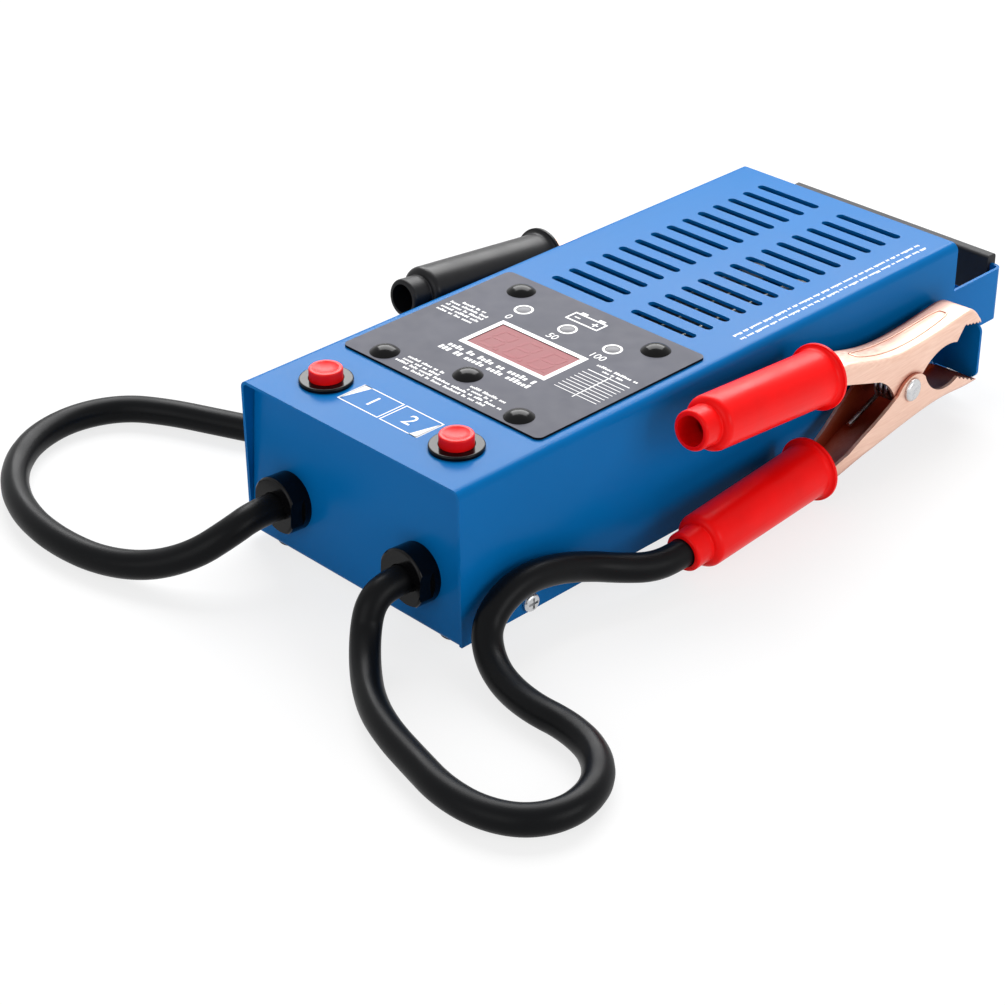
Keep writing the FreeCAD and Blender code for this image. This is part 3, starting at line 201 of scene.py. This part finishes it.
BLACK_ROUTE = [
    (-31.0, -144.24, 22.39), (-31.0, -154.61, 23.21),
    (-32.0, -165.0, 20.0), (-38.5, -175.0, 13.0), (-50.5, -184.5, 7.5),
    (-67.0, -191.5, 5.2), (-86.0, -194.5, 5.2), (-106.0, -193.0, 5.2), (-125.0, -186.5, 5.2),
    (-141.0, -175.0, 5.2), (-152.0, -159.0, 5.2), (-155.0, -140.0, 5.2), (-148.0, -122.5, 5.2),
    (-132.5, -112.5, 5.2), (-114.5, -105.0, 5.2), (-97.0, -97.5, 5.2), (-81.5, -88.5, 6.4),
    (-69.0, -77.5, 9.2),
    (-65.5, -62.82, 10.26), (-65.5, -49.83, 10.6),
]


def centre(node):
    """Middle of a node's box."""
    low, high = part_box(node)
    return (Vector(low) + Vector(high)) / 2


def top(node):
    """Height of a node's highest point."""
    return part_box(node)[1][2]


# Camera, floor and light

def add_camera():
    """Camera on a line from its target, turned slightly about its view."""
    azimuth = math.radians(CAMERA_AZIMUTH)
    elevation = math.radians(CAMERA_ELEVATION)
    roll = math.radians(CAMERA_ROLL)
    flat = math.cos(elevation)
    back = Vector((math.sin(azimuth) * flat, -math.cos(azimuth) * flat, math.sin(elevation)))
    right = Vector((math.cos(azimuth), math.sin(azimuth), 0))
    up = back.cross(right)
    turned_right = right * math.cos(roll) + up * math.sin(roll)
    turned_up = up * math.cos(roll) - right * math.sin(roll)
    data = bpy.data.cameras.new("camera")
    data.lens = LENS
    data.sensor_width = SENSOR
    camera = bpy.data.objects.new("camera", data)
    placing = Matrix((turned_right, turned_up, back)).transposed().to_4x4()
    placing.translation = CAMERA_TARGET + back * CAMERA_DISTANCE
    camera.matrix_world = placing
    bpy.context.scene.collection.objects.link(camera)
    bpy.context.scene.camera = camera


def white_to_the_eye(tree):
    """1 for rays that show the background itself, 0 for light that falls on the object."""
    path = tree.nodes.new("ShaderNodeLightPath")
    last = path.outputs["Is Camera Ray"]
    for name in ("Is Glossy Ray", "Is Transmission Ray"):
        larger = tree.nodes.new("ShaderNodeMath")
        larger.operation = "MAXIMUM"
        tree.links.new(last, larger.inputs[0])
        tree.links.new(path.outputs[name], larger.inputs[1])
        last = larger.outputs[0]
    return last


def add_world():
    """White surroundings, dimmer as a source of light."""
    world = bpy.data.worlds.new("studio")
    bpy.context.scene.world = world
    world.use_nodes = True
    tree = world.node_tree
    dim = tree.nodes["Background"]
    dim.inputs["Color"].default_value = WHITE
    dim.inputs["Strength"].default_value = SURROUNDINGS
    seen = tree.nodes.new("ShaderNodeBackground")
    seen.inputs["Color"].default_value = WHITE
    seen.inputs["Strength"].default_value = 1.0
    mix = tree.nodes.new("ShaderNodeMixShader")
    tree.links.new(white_to_the_eye(tree), mix.inputs["Fac"])
    tree.links.new(dim.outputs[0], mix.inputs[1])
    tree.links.new(seen.outputs[0], mix.inputs[2])
    tree.links.new(mix.outputs[0], tree.nodes["World Output"].inputs["Surface"])


def add_floor():
    """Pale floor that keeps the object's shadow, and is plain white farther out."""
    bpy.ops.mesh.primitive_plane_add(size=FLOOR_SIZE)
    floor = bpy.context.object
    floor.name = "floor"
    material = bpy.data.materials.new("floor_white")
    material.use_nodes = True
    tree = material.node_tree
    shader = tree.nodes["Principled BSDF"]
    shader.inputs["Base Color"].default_value = FLOOR_COLOUR
    shader.inputs["Roughness"].default_value = FLOOR_ROUGH
    shader.inputs["Specular IOR Level"].default_value = FLOOR_SHEEN
    glow = tree.nodes.new("ShaderNodeEmission")
    glow.inputs["Color"].default_value = WHITE
    mix = tree.nodes.new("ShaderNodeMixShader")
    place = tree.nodes.new("ShaderNodeTexCoord")
    away = tree.nodes.new("ShaderNodeVectorMath")
    away.operation = "LENGTH"
    fade = tree.nodes.new("ShaderNodeMapRange")
    fade.inputs["From Min"].default_value = FADE_NEAR
    fade.inputs["From Max"].default_value = FADE_FAR
    fade.inputs["To Min"].default_value = NEAR_SHARE
    fade.inputs["To Max"].default_value = 1.0
    share = tree.nodes.new("ShaderNodeMath")
    share.operation = "MULTIPLY"
    tree.links.new(place.outputs["Object"], away.inputs[0])
    tree.links.new(away.outputs["Value"], fade.inputs["Value"])
    tree.links.new(white_to_the_eye(tree), share.inputs[0])
    tree.links.new(fade.outputs["Result"], share.inputs[1])
    tree.links.new(share.outputs[0], mix.inputs["Fac"])
    tree.links.new(shader.outputs[0], mix.inputs[1])
    tree.links.new(glow.outputs[0], mix.inputs[2])
    tree.links.new(mix.outputs[0], tree.nodes["Material Output"].inputs["Surface"])
    floor.data.materials.append(material)


def add_lights():
    """Soft boxes turned to the object."""
    for name, place, size, power in LIGHTS:
        data = bpy.data.lights.new(name, "AREA")
        data.shape = "RECTANGLE"
        data.size = size[0]
        data.size_y = size[1]
        data.energy = power
        lamp = bpy.data.objects.new(name, data)
        lamp.location = place
        lamp.rotation_euler = (Vector(LIGHT_AIM) - Vector(place)).to_track_quat("-Z", "Y").to_euler()
        bpy.context.scene.collection.objects.link(lamp)


# Materials

PATTERN_SPAN = (0.3, 0.7)       # stretch of a noise pattern that colours and gloss are spread over
# Painted shade in hollows: how far faces look for each other, and the openness over which the shade
# fades
HOLLOW_SHADE_REACH = 22 * MM
HOLLOW_SHADE_SPAN = (0.45, 0.85)      # openness at which the painted shade starts to fade, and is gone


class Finish:
    """A principled material with procedural colour, gloss and relief, in object coordinates."""

    def __init__(self, name):
        self.material = bpy.data.materials.new(name)
        self.material.use_nodes = True
        self.tree = self.material.node_tree
        self.shader = self.tree.nodes["Principled BSDF"]
        self.place = self.tree.nodes.new("ShaderNodeTexCoord").outputs["Object"]

    def set(self, name, value):
        """One plain value of the surface."""
        self.shader.inputs[name].default_value = value

    def noise(self, scale, detail, stretch=(1, 1, 1)):
        """Noise pattern, its cells per metre along each axis."""
        mapping = self.tree.nodes.new("ShaderNodeMapping")
        mapping.inputs["Scale"].default_value = stretch
        pattern = self.tree.nodes.new("ShaderNodeTexNoise")
        pattern.inputs["Scale"].default_value = scale
        pattern.inputs["Detail"].default_value = detail
        self.tree.links.new(self.place, mapping.inputs["Vector"])
        self.tree.links.new(mapping.outputs["Vector"], pattern.inputs["Vector"])
        return pattern.outputs["Fac"]

    def ramp(self, value, dark, light):
        """Two colours spread over a pattern."""
        ramp = self.tree.nodes.new("ShaderNodeValToRGB")
        for point, position, colour in zip(ramp.color_ramp.elements, PATTERN_SPAN, (dark, light)):
            point.position = position
            point.color = (*colour, 1)
        self.tree.links.new(value, ramp.inputs["Fac"])
        return ramp.outputs["Color"]

    def spread(self, value, span):
        """A value stretched so that its span runs from 0 to 1."""
        stretched = self.tree.nodes.new("ShaderNodeMapRange")
        stretched.inputs["From Min"].default_value = span[0]
        stretched.inputs["From Max"].default_value = span[1]
        self.tree.links.new(value, stretched.inputs["Value"])
        return stretched

    def colour(self, value, dark, light):
        """Base colour that changes with a pattern."""
        self.tree.links.new(self.ramp(value, dark, light), self.shader.inputs["Base Color"])

    def roughness(self, value, smooth, rough):
        """Gloss that changes with a pattern."""
        stretched = self.spread(value, PATTERN_SPAN)
        stretched.inputs["To Min"].default_value = smooth
        stretched.inputs["To Max"].default_value = rough
        self.tree.links.new(stretched.outputs["Result"], self.shader.inputs["Roughness"])

    def paint_hollow_shade(self, shade_colour):
        """Painted shade: deeper colour where faces stand close together."""
        open_colour = self.shader.inputs["Base Color"].links[0].from_socket
        near = self.tree.nodes.new("ShaderNodeAmbientOcclusion")
        near.inputs["Distance"].default_value = HOLLOW_SHADE_REACH
        openness = self.spread(near.outputs["AO"], HOLLOW_SHADE_SPAN).outputs["Result"]
        self.mix(openness, shade_colour, open_colour)

    def mix(self, share, plain, other):
        """Base colour that goes from a plain colour to another as a share grows."""
        mix = self.tree.nodes.new("ShaderNodeMix")
        mix.data_type = "RGBA"
        mix.inputs["A"].default_value = (*plain, 1)
        self.tree.links.new(share, mix.inputs["Factor"])
        self.tree.links.new(other, mix.inputs["B"])
        self.tree.links.new(mix.outputs["Result"], self.shader.inputs["Base Color"])

    def relief(self, value, strength, depth):
        """Fine relief of a pattern, its depth in metres."""
        bump = self.tree.nodes.new("ShaderNodeBump")
        bump.inputs["Strength"].default_value = strength
        bump.inputs["Distance"].default_value = depth
        self.tree.links.new(value, bump.inputs["Height"])
        self.tree.links.new(bump.outputs["Normal"], self.shader.inputs["Normal"])


def shades(colour, change):
    """A colour made darker and lighter by a share."""
    factors = (1 - change, 1 + change)
    return [tuple(min(1.0, channel * factor) for channel in colour) for factor in factors]


def painted(name, colour, gloss, sheen=0.5, mottle=0.06, orange_peel=0.03):
    """Enamel, lacquer or moulded plastic: faint mottle, slight gloss changes, fine relief."""
    patch_scale = 28
    grain_scale = 900
    dull = 0.06
    depth = 0.1 * MM
    finish = Finish(name)
    broad = finish.noise(patch_scale, detail=2)
    fine = finish.noise(grain_scale, detail=2)
    finish.colour(broad, *shades(colour, mottle))
    finish.roughness(broad, gloss, gloss + dull)
    finish.relief(fine, orange_peel, depth)
    finish.set("Specular IOR Level", sheen)
    return finish.material


def rubbery(name, colour, rough, sheen, grain=1600, strength=0.12):
    """Soft skin with a fine grain and dull patches."""
    patch_scale = 60
    mottle = 0.06
    shine = 0.06
    dull = 0.08
    depth = 0.12 * MM
    finish = Finish(name)
    patches = finish.noise(patch_scale, detail=4)
    skin = finish.noise(grain, detail=4)
    finish.colour(patches, *shades(colour, mottle))
    finish.roughness(patches, rough - shine, rough + dull)
    finish.relief(skin, strength, depth)
    finish.set("Specular IOR Level", sheen)
    return finish.material


def metal(name, dark, light, rough, stretch=(1, 1, 1), scale=500, strength=0.05, metallic=1.0,
          hollow_shade=None):
    """Bare or plated metal with drawing marks along one direction, and painted shade that deepens its
    colour in its hollows.
    """
    shine = 0.07
    dull = 0.1
    depth = 0.05 * MM
    finish = Finish(name)
    marks = finish.noise(scale, detail=5, stretch=stretch)
    finish.colour(marks, dark, light)
    finish.roughness(marks, rough - shine, rough + dull)
    finish.relief(marks, strength, depth)
    finish.set("Metallic", metallic)
    if hollow_shade:
        finish.paint_hollow_shade(hollow_shade)
    return finish.material


def edged(name, face, edge, gloss):
    """Printed plate: one colour on the face, another on the cut sides."""
    patch_scale = 40
    mottle = 0.07
    gloss_scale = 200
    dull = 0.08
    grain_scale = 1500
    grain = 0.05
    depth = 0.05 * MM
    sheen = 0.08
    finish = Finish(name)
    split = finish.tree.nodes.new("ShaderNodeSeparateXYZ")
    normal = finish.tree.nodes.new("ShaderNodeNewGeometry").outputs["Normal"]
    finish.tree.links.new(normal, split.inputs[0])
    shade = finish.ramp(finish.noise(patch_scale, detail=3), *shades(face, mottle))
    finish.mix(split.outputs["Z"], edge, shade)
    finish.roughness(finish.noise(gloss_scale, detail=2), gloss, gloss + dull)
    finish.relief(finish.noise(grain_scale, detail=2), grain, depth)
    finish.set("Specular IOR Level", sheen)
    return finish.material


ALONG_CASE = (6, 0.3, 6)        # drawing marks stretched along the case
BLUE = painted("blue_enamel", (0.001, 0.134, 0.4), 0.2, sheen=0.048, mottle=0.03, orange_peel=0.02)
GRIP = painted("grip_plastic", (0.016, 0.016, 0.018), 0.5, sheen=0.18, orange_peel=0.15)
LABEL = edged("label_grey", (0.088, 0.09, 0.112), (0.003, 0.003, 0.004), 0.45)
BLACK = painted("black_plastic", (0.0022, 0.0022, 0.0026), 0.12, sheen=0.14, orange_peel=0.02)
DARK = painted("dark_plastic", (0.02, 0.02, 0.023), 0.45, orange_peel=0.1)
WINDOW = painted("window_red", (0.235, 0.045, 0.053), 0.26, sheen=0.1, mottle=0.1)
DIGIT = painted("digit_red", (0.27, 0.06, 0.068), 0.3, sheen=0.1)
LENS_GREY = painted("lamp_lens", (0.2, 0.2, 0.215), 0.4, sheen=0.2)
BOARD = painted("board_green", (0.01, 0.1, 0.035), 0.3, mottle=0.2)
RED = painted("button_red", (0.84, 0.004, 0.005), 0.34, sheen=0.2)
INK_WHITE = painted("ink_white", (0.86, 0.86, 0.86), 0.5, mottle=0.02)
ZINC = metal("zinc_steel", (0.52, 0.53, 0.55), (0.68, 0.68, 0.68), 0.28)
WIRE = metal("spring_steel", (0.3, 0.3, 0.31), (0.45, 0.45, 0.46), 0.3)
BRASS = metal("brass", (0.6, 0.4, 0.16), (0.74, 0.53, 0.25), 0.3)
ALLOY = metal("resistance_alloy", (0.3, 0.28, 0.25), (0.42, 0.39, 0.35), 0.4, ALONG_CASE)
# Copper: the deep red-brown in the hollows of the clamps is painted shade
COPPER = metal("copper_plate", (0.8, 0.5, 0.38), (0.9, 0.63, 0.51), 0.4, ALONG_CASE, scale=260,
               strength=0.006, metallic=0.62, hollow_shade=(0.34, 0.045, 0.012))
CERAMIC = painted("ceramic", (0.7, 0.68, 0.62), 0.7, orange_peel=0.3)
RUBBER = rubbery("lead_rubber", (0.003, 0.0033, 0.004), 0.36, 0.09)
VINYL_RED = rubbery("red_vinyl", (0.9, 0.003, 0.003), 0.34, 0.13, grain=900, strength=0.06)
VINYL_BLACK = rubbery("black_vinyl", (0.006, 0.006, 0.007), 0.36, 0.18, grain=900, strength=0.1)

SLOT_FINISH = {
    "blue_enamel": BLUE, "grip_plastic": GRIP, "label_grey": LABEL, "black_plastic": BLACK,
    "dark_plastic": DARK, "red_window": WINDOW, "lamp_lens": LENS_GREY, "board_green": BOARD,
    "red_plastic": RED, "zinc_steel": ZINC, "spring_steel": WIRE, "brass": BRASS, "rubber": RUBBER,
    "resistance_alloy": ALLOY, "ceramic": CERAMIC, "copper_plate": COPPER, "red_vinyl": VINYL_RED,
    "black_vinyl": VINYL_BLACK,
}


def dress_nodes():
    """Give every solid the finish of its material slot."""
    for part in frame["record"]["subparts"]:
        piece = nodes[part["node"]]
        piece.data.materials.clear()
        piece.data.materials.append(SLOT_FINISH[part["material_slot"]])


# Springs, and the beads of the clamps

def live_copy(node, name):
    """A node's mesh as a piece of its own, with the node itself hidden."""
    source = nodes[node]
    bpy.context.view_layer.update()
    piece = bpy.data.objects.new(name, source.data.copy())
    piece.matrix_world = source.matrix_world
    bpy.context.scene.collection.objects.link(piece)
    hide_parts(node)
    return piece


def add_return_spring(side):
    """Return spring of a button, as a piece of its own carried with the case."""
    spring = live_copy(side + "_button_spring", side + "_return_spring")
    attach(spring, "case")
    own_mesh(spring)


def add_torsion_spring(colour):
    """Spring of a clamp, as a piece of its own with its placing baked into its mesh."""
    spring = live_copy(colour + "_clamp_spring", colour + "_torsion_spring")
    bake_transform(spring)


def add_web_bead(colour):
    """Raised oval bead pressed into the web of a clamp's upper half."""
    shape = nodes[colour + "_upper_jaw"].data
    skin = BVHTree.FromPolygons([vertex.co for vertex in shape.vertices],
                                [tuple(face.vertices) for face in shape.polygons])
    pivot = centre(colour + "_pivot_rivet")
    yaw = math.radians(CLAMP_YAW[colour])
    across = Vector((math.cos(yaw), math.sin(yaw), 0))
    along = Vector((-math.sin(yaw), math.cos(yaw), 0))
    path = []
    for step in range(BEAD_POINTS):
        angle = 2 * math.pi * step / BEAD_POINTS
        reach = BEAD_MIDDLE + BEAD_LONG / 2 * math.cos(angle)
        swing = math.sin(angle)
        aside = BEAD_WIDE / 2 * math.copysign(abs(swing) ** BEAD_ROUNDING, swing)
        above = pivot + (along * reach + across * aside) * MM + Vector((0, 0, BEAD_DROP * MM))
        spot, normal, _, _ = skin.ray_cast(above, Vector((0, 0, -1)))
        path.append((spot, normal))
    mesh = bmesh.new()
    rings = []
    for place, (spot, normal) in enumerate(path):
        ahead = path[(place + 1) % BEAD_POINTS][0] - path[place - 1][0]
        side = ahead.cross(normal).normalized()
        ring = []
        for count in range(BEAD_SIDES):
            angle = 2 * math.pi * count / BEAD_SIDES
            outward = side * math.cos(angle) + normal * math.sin(angle)
            ring.append(mesh.verts.new(spot + outward * BEAD_RADIUS * MM))
        rings.append(ring)
    for place, ring in enumerate(rings):
        after = rings[(place + 1) % BEAD_POINTS]
        for count in range(BEAD_SIDES):
            beside = (count + 1) % BEAD_SIDES
            mesh.faces.new((ring[count], ring[beside], after[beside], after[count])).smooth = True
    bmesh.ops.recalc_face_normals(mesh, faces=mesh.faces)
    data = bpy.data.meshes.new(colour + "_web_bead")
    mesh.to_mesh(data)
    mesh.free()
    data.materials.append(COPPER)
    bead = bpy.data.objects.new(colour + "_web_bead", data)
    bpy.context.scene.collection.objects.link(bead)
    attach(bead, colour + "_clamp_upper")


# Leads

def add_lead(colour, route):
    """Rubber lead: one smooth line over the route's points."""
    curve = bpy.data.curves.new(colour + "_cable", "CURVE")
    curve.dimensions = "3D"
    curve.bevel_depth = LEAD_RADIUS * MM
    curve.bevel_resolution = LEAD_ROUNDNESS
    curve.resolution_u = LEAD_STEPS
    curve.use_fill_caps = True
    line = curve.splines.new("NURBS")
    line.points.add(len(route) - 1)
    for point, spot in zip(line.points, route):
        point.co = (*(Vector(spot) * MM), 1)
    line.order_u = LEAD_ORDER
    line.use_endpoint_u = True
    cable = bpy.data.objects.new(colour + "_cable", curve)
    bpy.context.scene.collection.objects.link(cable)
    curve.materials.append(RUBBER)
    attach(cable, "case")
    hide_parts(colour + "_lead")


# Print on the label plate and the cover

def ink_piece(name, outlines, height, material=INK_WHITE):
    """Flat ink shapes of one colour: closed outlines in millimetres, laid on a height in metres."""
    mesh = bmesh.new()
    for outline in outlines:
        low = [mesh.verts.new((x * MM, y * MM, height)) for x, y in outline]
        high = [mesh.verts.new((x * MM, y * MM, height + INK * MM)) for x, y in outline]
        mesh.faces.new(high)
        mesh.faces.new(low[::-1])
        for place in range(len(outline)):
            after = (place + 1) % len(outline)
            mesh.faces.new((low[place], low[after], high[after], high[place]))
    bmesh.ops.recalc_face_normals(mesh, faces=mesh.faces)
    data = bpy.data.meshes.new(name)
    mesh.to_mesh(data)
    mesh.free()
    data.materials.append(material)
    piece = bpy.data.objects.new(name, data)
    bpy.context.scene.collection.objects.link(piece)
    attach(piece, "case")


def bar(x0, x1, y0, y1):
    """Upright rectangle."""
    return [(x0, y0), (x1, y0), (x1, y1), (x0, y1)]


def rectangle_lines(x0, x1, y0, y1, width):
    """Four bars along the inside of a rectangle."""
    return [
        bar(x0, x1, y1 - width, y1), bar(x0, x1, y0, y0 + width),
        bar(x0, x0 + width, y0 + width, y1 - width), bar(x1 - width, x1, y0 + width, y1 - width),
    ]


def ring_quads(x, y, inner, outer):
    """Ring as a row of flat quads."""
    quads = []
    for step in range(RING_POINTS):
        one = 2 * math.pi * step / RING_POINTS
        two = 2 * math.pi * (step + 1) / RING_POINTS
        quads.append([
            (x + radius * math.cos(angle), y + radius * math.sin(angle))
            for radius, angle in ((inner, one), (outer, one), (outer, two), (inner, two))
        ])
    return quads


def small_print(x0, x1, y, letter, draw, gaps=()):
    """Row of upright ticks in word-long groups that stands for a line of small print."""
    wide = TICK_WIDE * letter
    step = TICK_STEP * letter
    ticks = []
    x = x0
    while x + wide < x1:
        for _ in range(draw.randint(*WORD)):
            tall = letter * draw.choice(TICK_TALL)
            free = all(x + wide < low or x > high for low, high in gaps)
            if free and x + wide <= x1:
                ticks.append(bar(x, x + wide, y - letter / 2, y - letter / 2 + tall))
            x += step
        x += step
    return ticks


def numeral(name, text, x, y, size, height):
    """Plain number as thin raised ink."""
    curve = bpy.data.curves.new(name, "FONT")
    curve.body = text
    curve.size = size * MM
    curve.extrude = INK * MM / 2
    curve.align_x = "CENTER"
    curve.align_y = "CENTER"
    curve.materials.append(INK_WHITE)
    piece = bpy.data.objects.new(name, curve)
    piece.location = (x * MM, y * MM, height + INK * MM / 2)
    bpy.context.scene.collection.objects.link(piece)
    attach(piece, "case")


def add_plate_print():
    """White frame, rings, small print, chart and battery sign on the label plate."""
    draw = random.Random(PLATE_SEED)
    middle = centre("label_plate") / MM
    height = top("label_plate")
    low, high = (Vector(corner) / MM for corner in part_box("display_window"))
    shapes = rectangle_lines(low.x - WINDOW_RIM, high.x + WINDOW_RIM,
                             low.y - WINDOW_RIM, high.y + WINDOW_RIM, WINDOW_RIM - WINDOW_GAP)
    ink_piece("window_frame", shapes, height)

    for side in ("left", "middle", "right"):
        spot = centre(side + "_lamp") / MM
        shapes = ring_quads(spot.x, spot.y, RING_INSIDE, RING_INSIDE + RING)
        ink_piece(side + "_lamp_ring", shapes, height)

    shapes = []
    for x0, x1, y, letter in PLATE_ROWS:
        gaps = [RIVET_GAP] if RIVET_ROWS[0] < y < RIVET_ROWS[1] else []
        shapes += small_print(x0, x1, middle.y + y, letter, draw, gaps)
    ink_piece("small_print", shapes, height)

    shapes = []
    for x0, x1, y, letter in CHART_TITLES:
        shapes += small_print(x0, x1, middle.y + y, letter, draw)
    for count in range(CHART_LINES):
        y = middle.y + CHART_TOP - CHART_PITCH * count
        shapes.append(bar(*CHART_SPAN, y - CHART_HALF_LINE, y + CHART_HALF_LINE))
    for x0, x1, y0, y1 in CHART_BARS:
        shapes.append(bar(x0, x1, middle.y + y0, middle.y + y1))
    ink_piece("chart", shapes, height)
    add_battery_sign(middle, height)


def add_battery_sign(middle, height):
    """Plain sign of a battery: box, two posts, plus and minus."""
    y = middle.y + SIGN_Y
    lid = y + SIGN_TALL
    dash_low, dash_high = (y + level for level in DASH_SPAN)
    shapes = rectangle_lines(SIGN_X - SIGN_WIDE, SIGN_X + SIGN_WIDE,
                             y - SIGN_TALL, lid - SIGN_LID, SIGN_LINE)
    for side in (-1, 1):
        post = SIGN_X + side * SIGN_WIDE * POST_PLACE
        shapes.append(bar(post - POST_HALF, post + POST_HALF, lid + POST_SPAN[0], lid + POST_SPAN[1]))
        shapes.append(bar(post - DASH_HALF, post + DASH_HALF, dash_low, dash_high))
    plus = SIGN_X + SIGN_WIDE * POST_PLACE
    shapes.append(bar(plus - PLUS_HALF, plus + PLUS_HALF, dash_low - PLUS_ARM, dash_low))
    shapes.append(bar(plus - PLUS_HALF, plus + PLUS_HALF, dash_high, dash_high + PLUS_ARM))
    ink_piece("battery_sign", shapes, height)


def add_cover_print():
    """Outlined boxes beside the buttons and two rows of small print along the right edge."""
    draw = random.Random(COVER_SEED)
    height = top("base") + COVER_SHEET * MM
    left = centre("left_button_body") / MM
    right = centre("right_button_body") / MM
    y0 = left.y - BOX_LOW
    y1 = left.y + BOX_HIGH
    first = (left.x + BOX_START, BOX_SPLIT)
    second = (BOX_SPLIT + BOX_GAP, right.x - BOX_END)
    shapes = []
    for x0, x1 in (first, second):
        shapes += rectangle_lines(x0, x1, y0, y1, LINE)
    start = first[0]
    end = second[1]
    shapes.append([(start - LINE, y0), (start + WEDGE_TIP, y0), (start + WEDGE, y1), (start - LINE, y1)])
    shapes.append([(end - WEDGE, y0), (end + LINE, y0), (end + LINE, y1), (end - WEDGE_TIP, y1)])
    ink_piece("button_boxes", shapes, height)
    y = (y0 + y1) / 2
    numeral("button_number_1", "1", sum(first) / 2 + BOX_NUMBER_SHIFT, y, BOX_NUMBER_SIZE, height)
    numeral("button_number_2", "2", sum(second) / 2 - BOX_NUMBER_SHIFT, y, BOX_NUMBER_SIZE, height)

    rows = []
    for x in EDGE_ROWS:
        for tick in small_print(*EDGE_SPAN, x, EDGE_LETTER, draw):
            rows.append([(across, along) for along, across in tick][::-1])
    ink_piece("edge_print", rows, height)


def segment(x, y, long, upright):
    """One bar of a leaning numeral: a six-sided lozenge."""
    half = long / 2
    cut = DIGIT_BAR / 2
    points = [
        (-half, 0), (-half + cut, -cut), (half - cut, -cut),
        (half, 0), (half - cut, cut), (-half + cut, cut),
    ]
    if upright:
        points = [(-v, u) for u, v in points]
    return [(x + u + DIGIT_LEAN * v, y + v) for u, v in points]


def add_digits():
    """Unlit seven-bar numerals on the display window."""
    spot = centre("display_window") / MM
    height = top("display_window")
    shapes = []
    for place in (-1, 0, 1):
        x = spot.x + place * DIGIT_PITCH
        for level in (-1, 0, 1):
            rise = level * DIGIT_TALL
            shapes.append(segment(x + DIGIT_LEAN * rise, spot.y + rise, DIGIT_WIDE - DIGIT_GAP, False))
        for level in (-0.5, 0.5):
            rise = level * DIGIT_TALL
            for side in (-1, 1):
                aside = side * DIGIT_WIDE / 2 + DIGIT_LEAN * rise
                shapes.append(segment(x + aside, spot.y + rise, DIGIT_TALL - DIGIT_GAP, True))
        dot = x + DIGIT_WIDE / 2 + DOT_ASIDE - DIGIT_LEAN * DIGIT_TALL
        foot = spot.y - DIGIT_TALL
        shapes.append(bar(dot - DOT_HALF, dot + DOT_HALF, foot - DOT_HALF, foot + DOT_HALF))
    ink_piece("digits", shapes, height, DIGIT)


def add_lamp_numbers():
    """Plain numbers under the lamps."""
    height = top("label_plate")
    for side, text in (("left", "0"), ("middle", "50"), ("right", "100")):
        spot = centre(side + "_lamp") / MM
        y = spot.y - LAMP_NUMBER_DROP
        numeral(side + "_lamp_number", text, spot.x, y, LAMP_NUMBER_SIZE, height)


add_camera()
add_world()
add_floor()
add_lights()
dress_nodes()
for side in ("left", "right"):
    add_return_spring(side)
for colour in ("red", "black"):
    add_torsion_spring(colour)
    add_web_bead(colour)
add_lead("red", RED_ROUTE)
add_lead("black", BLACK_ROUTE)
add_plate_print()
add_lamp_numbers()
add_digits()
add_cover_print()

bpy.context.scene.view_settings.view_transform = "Standard"
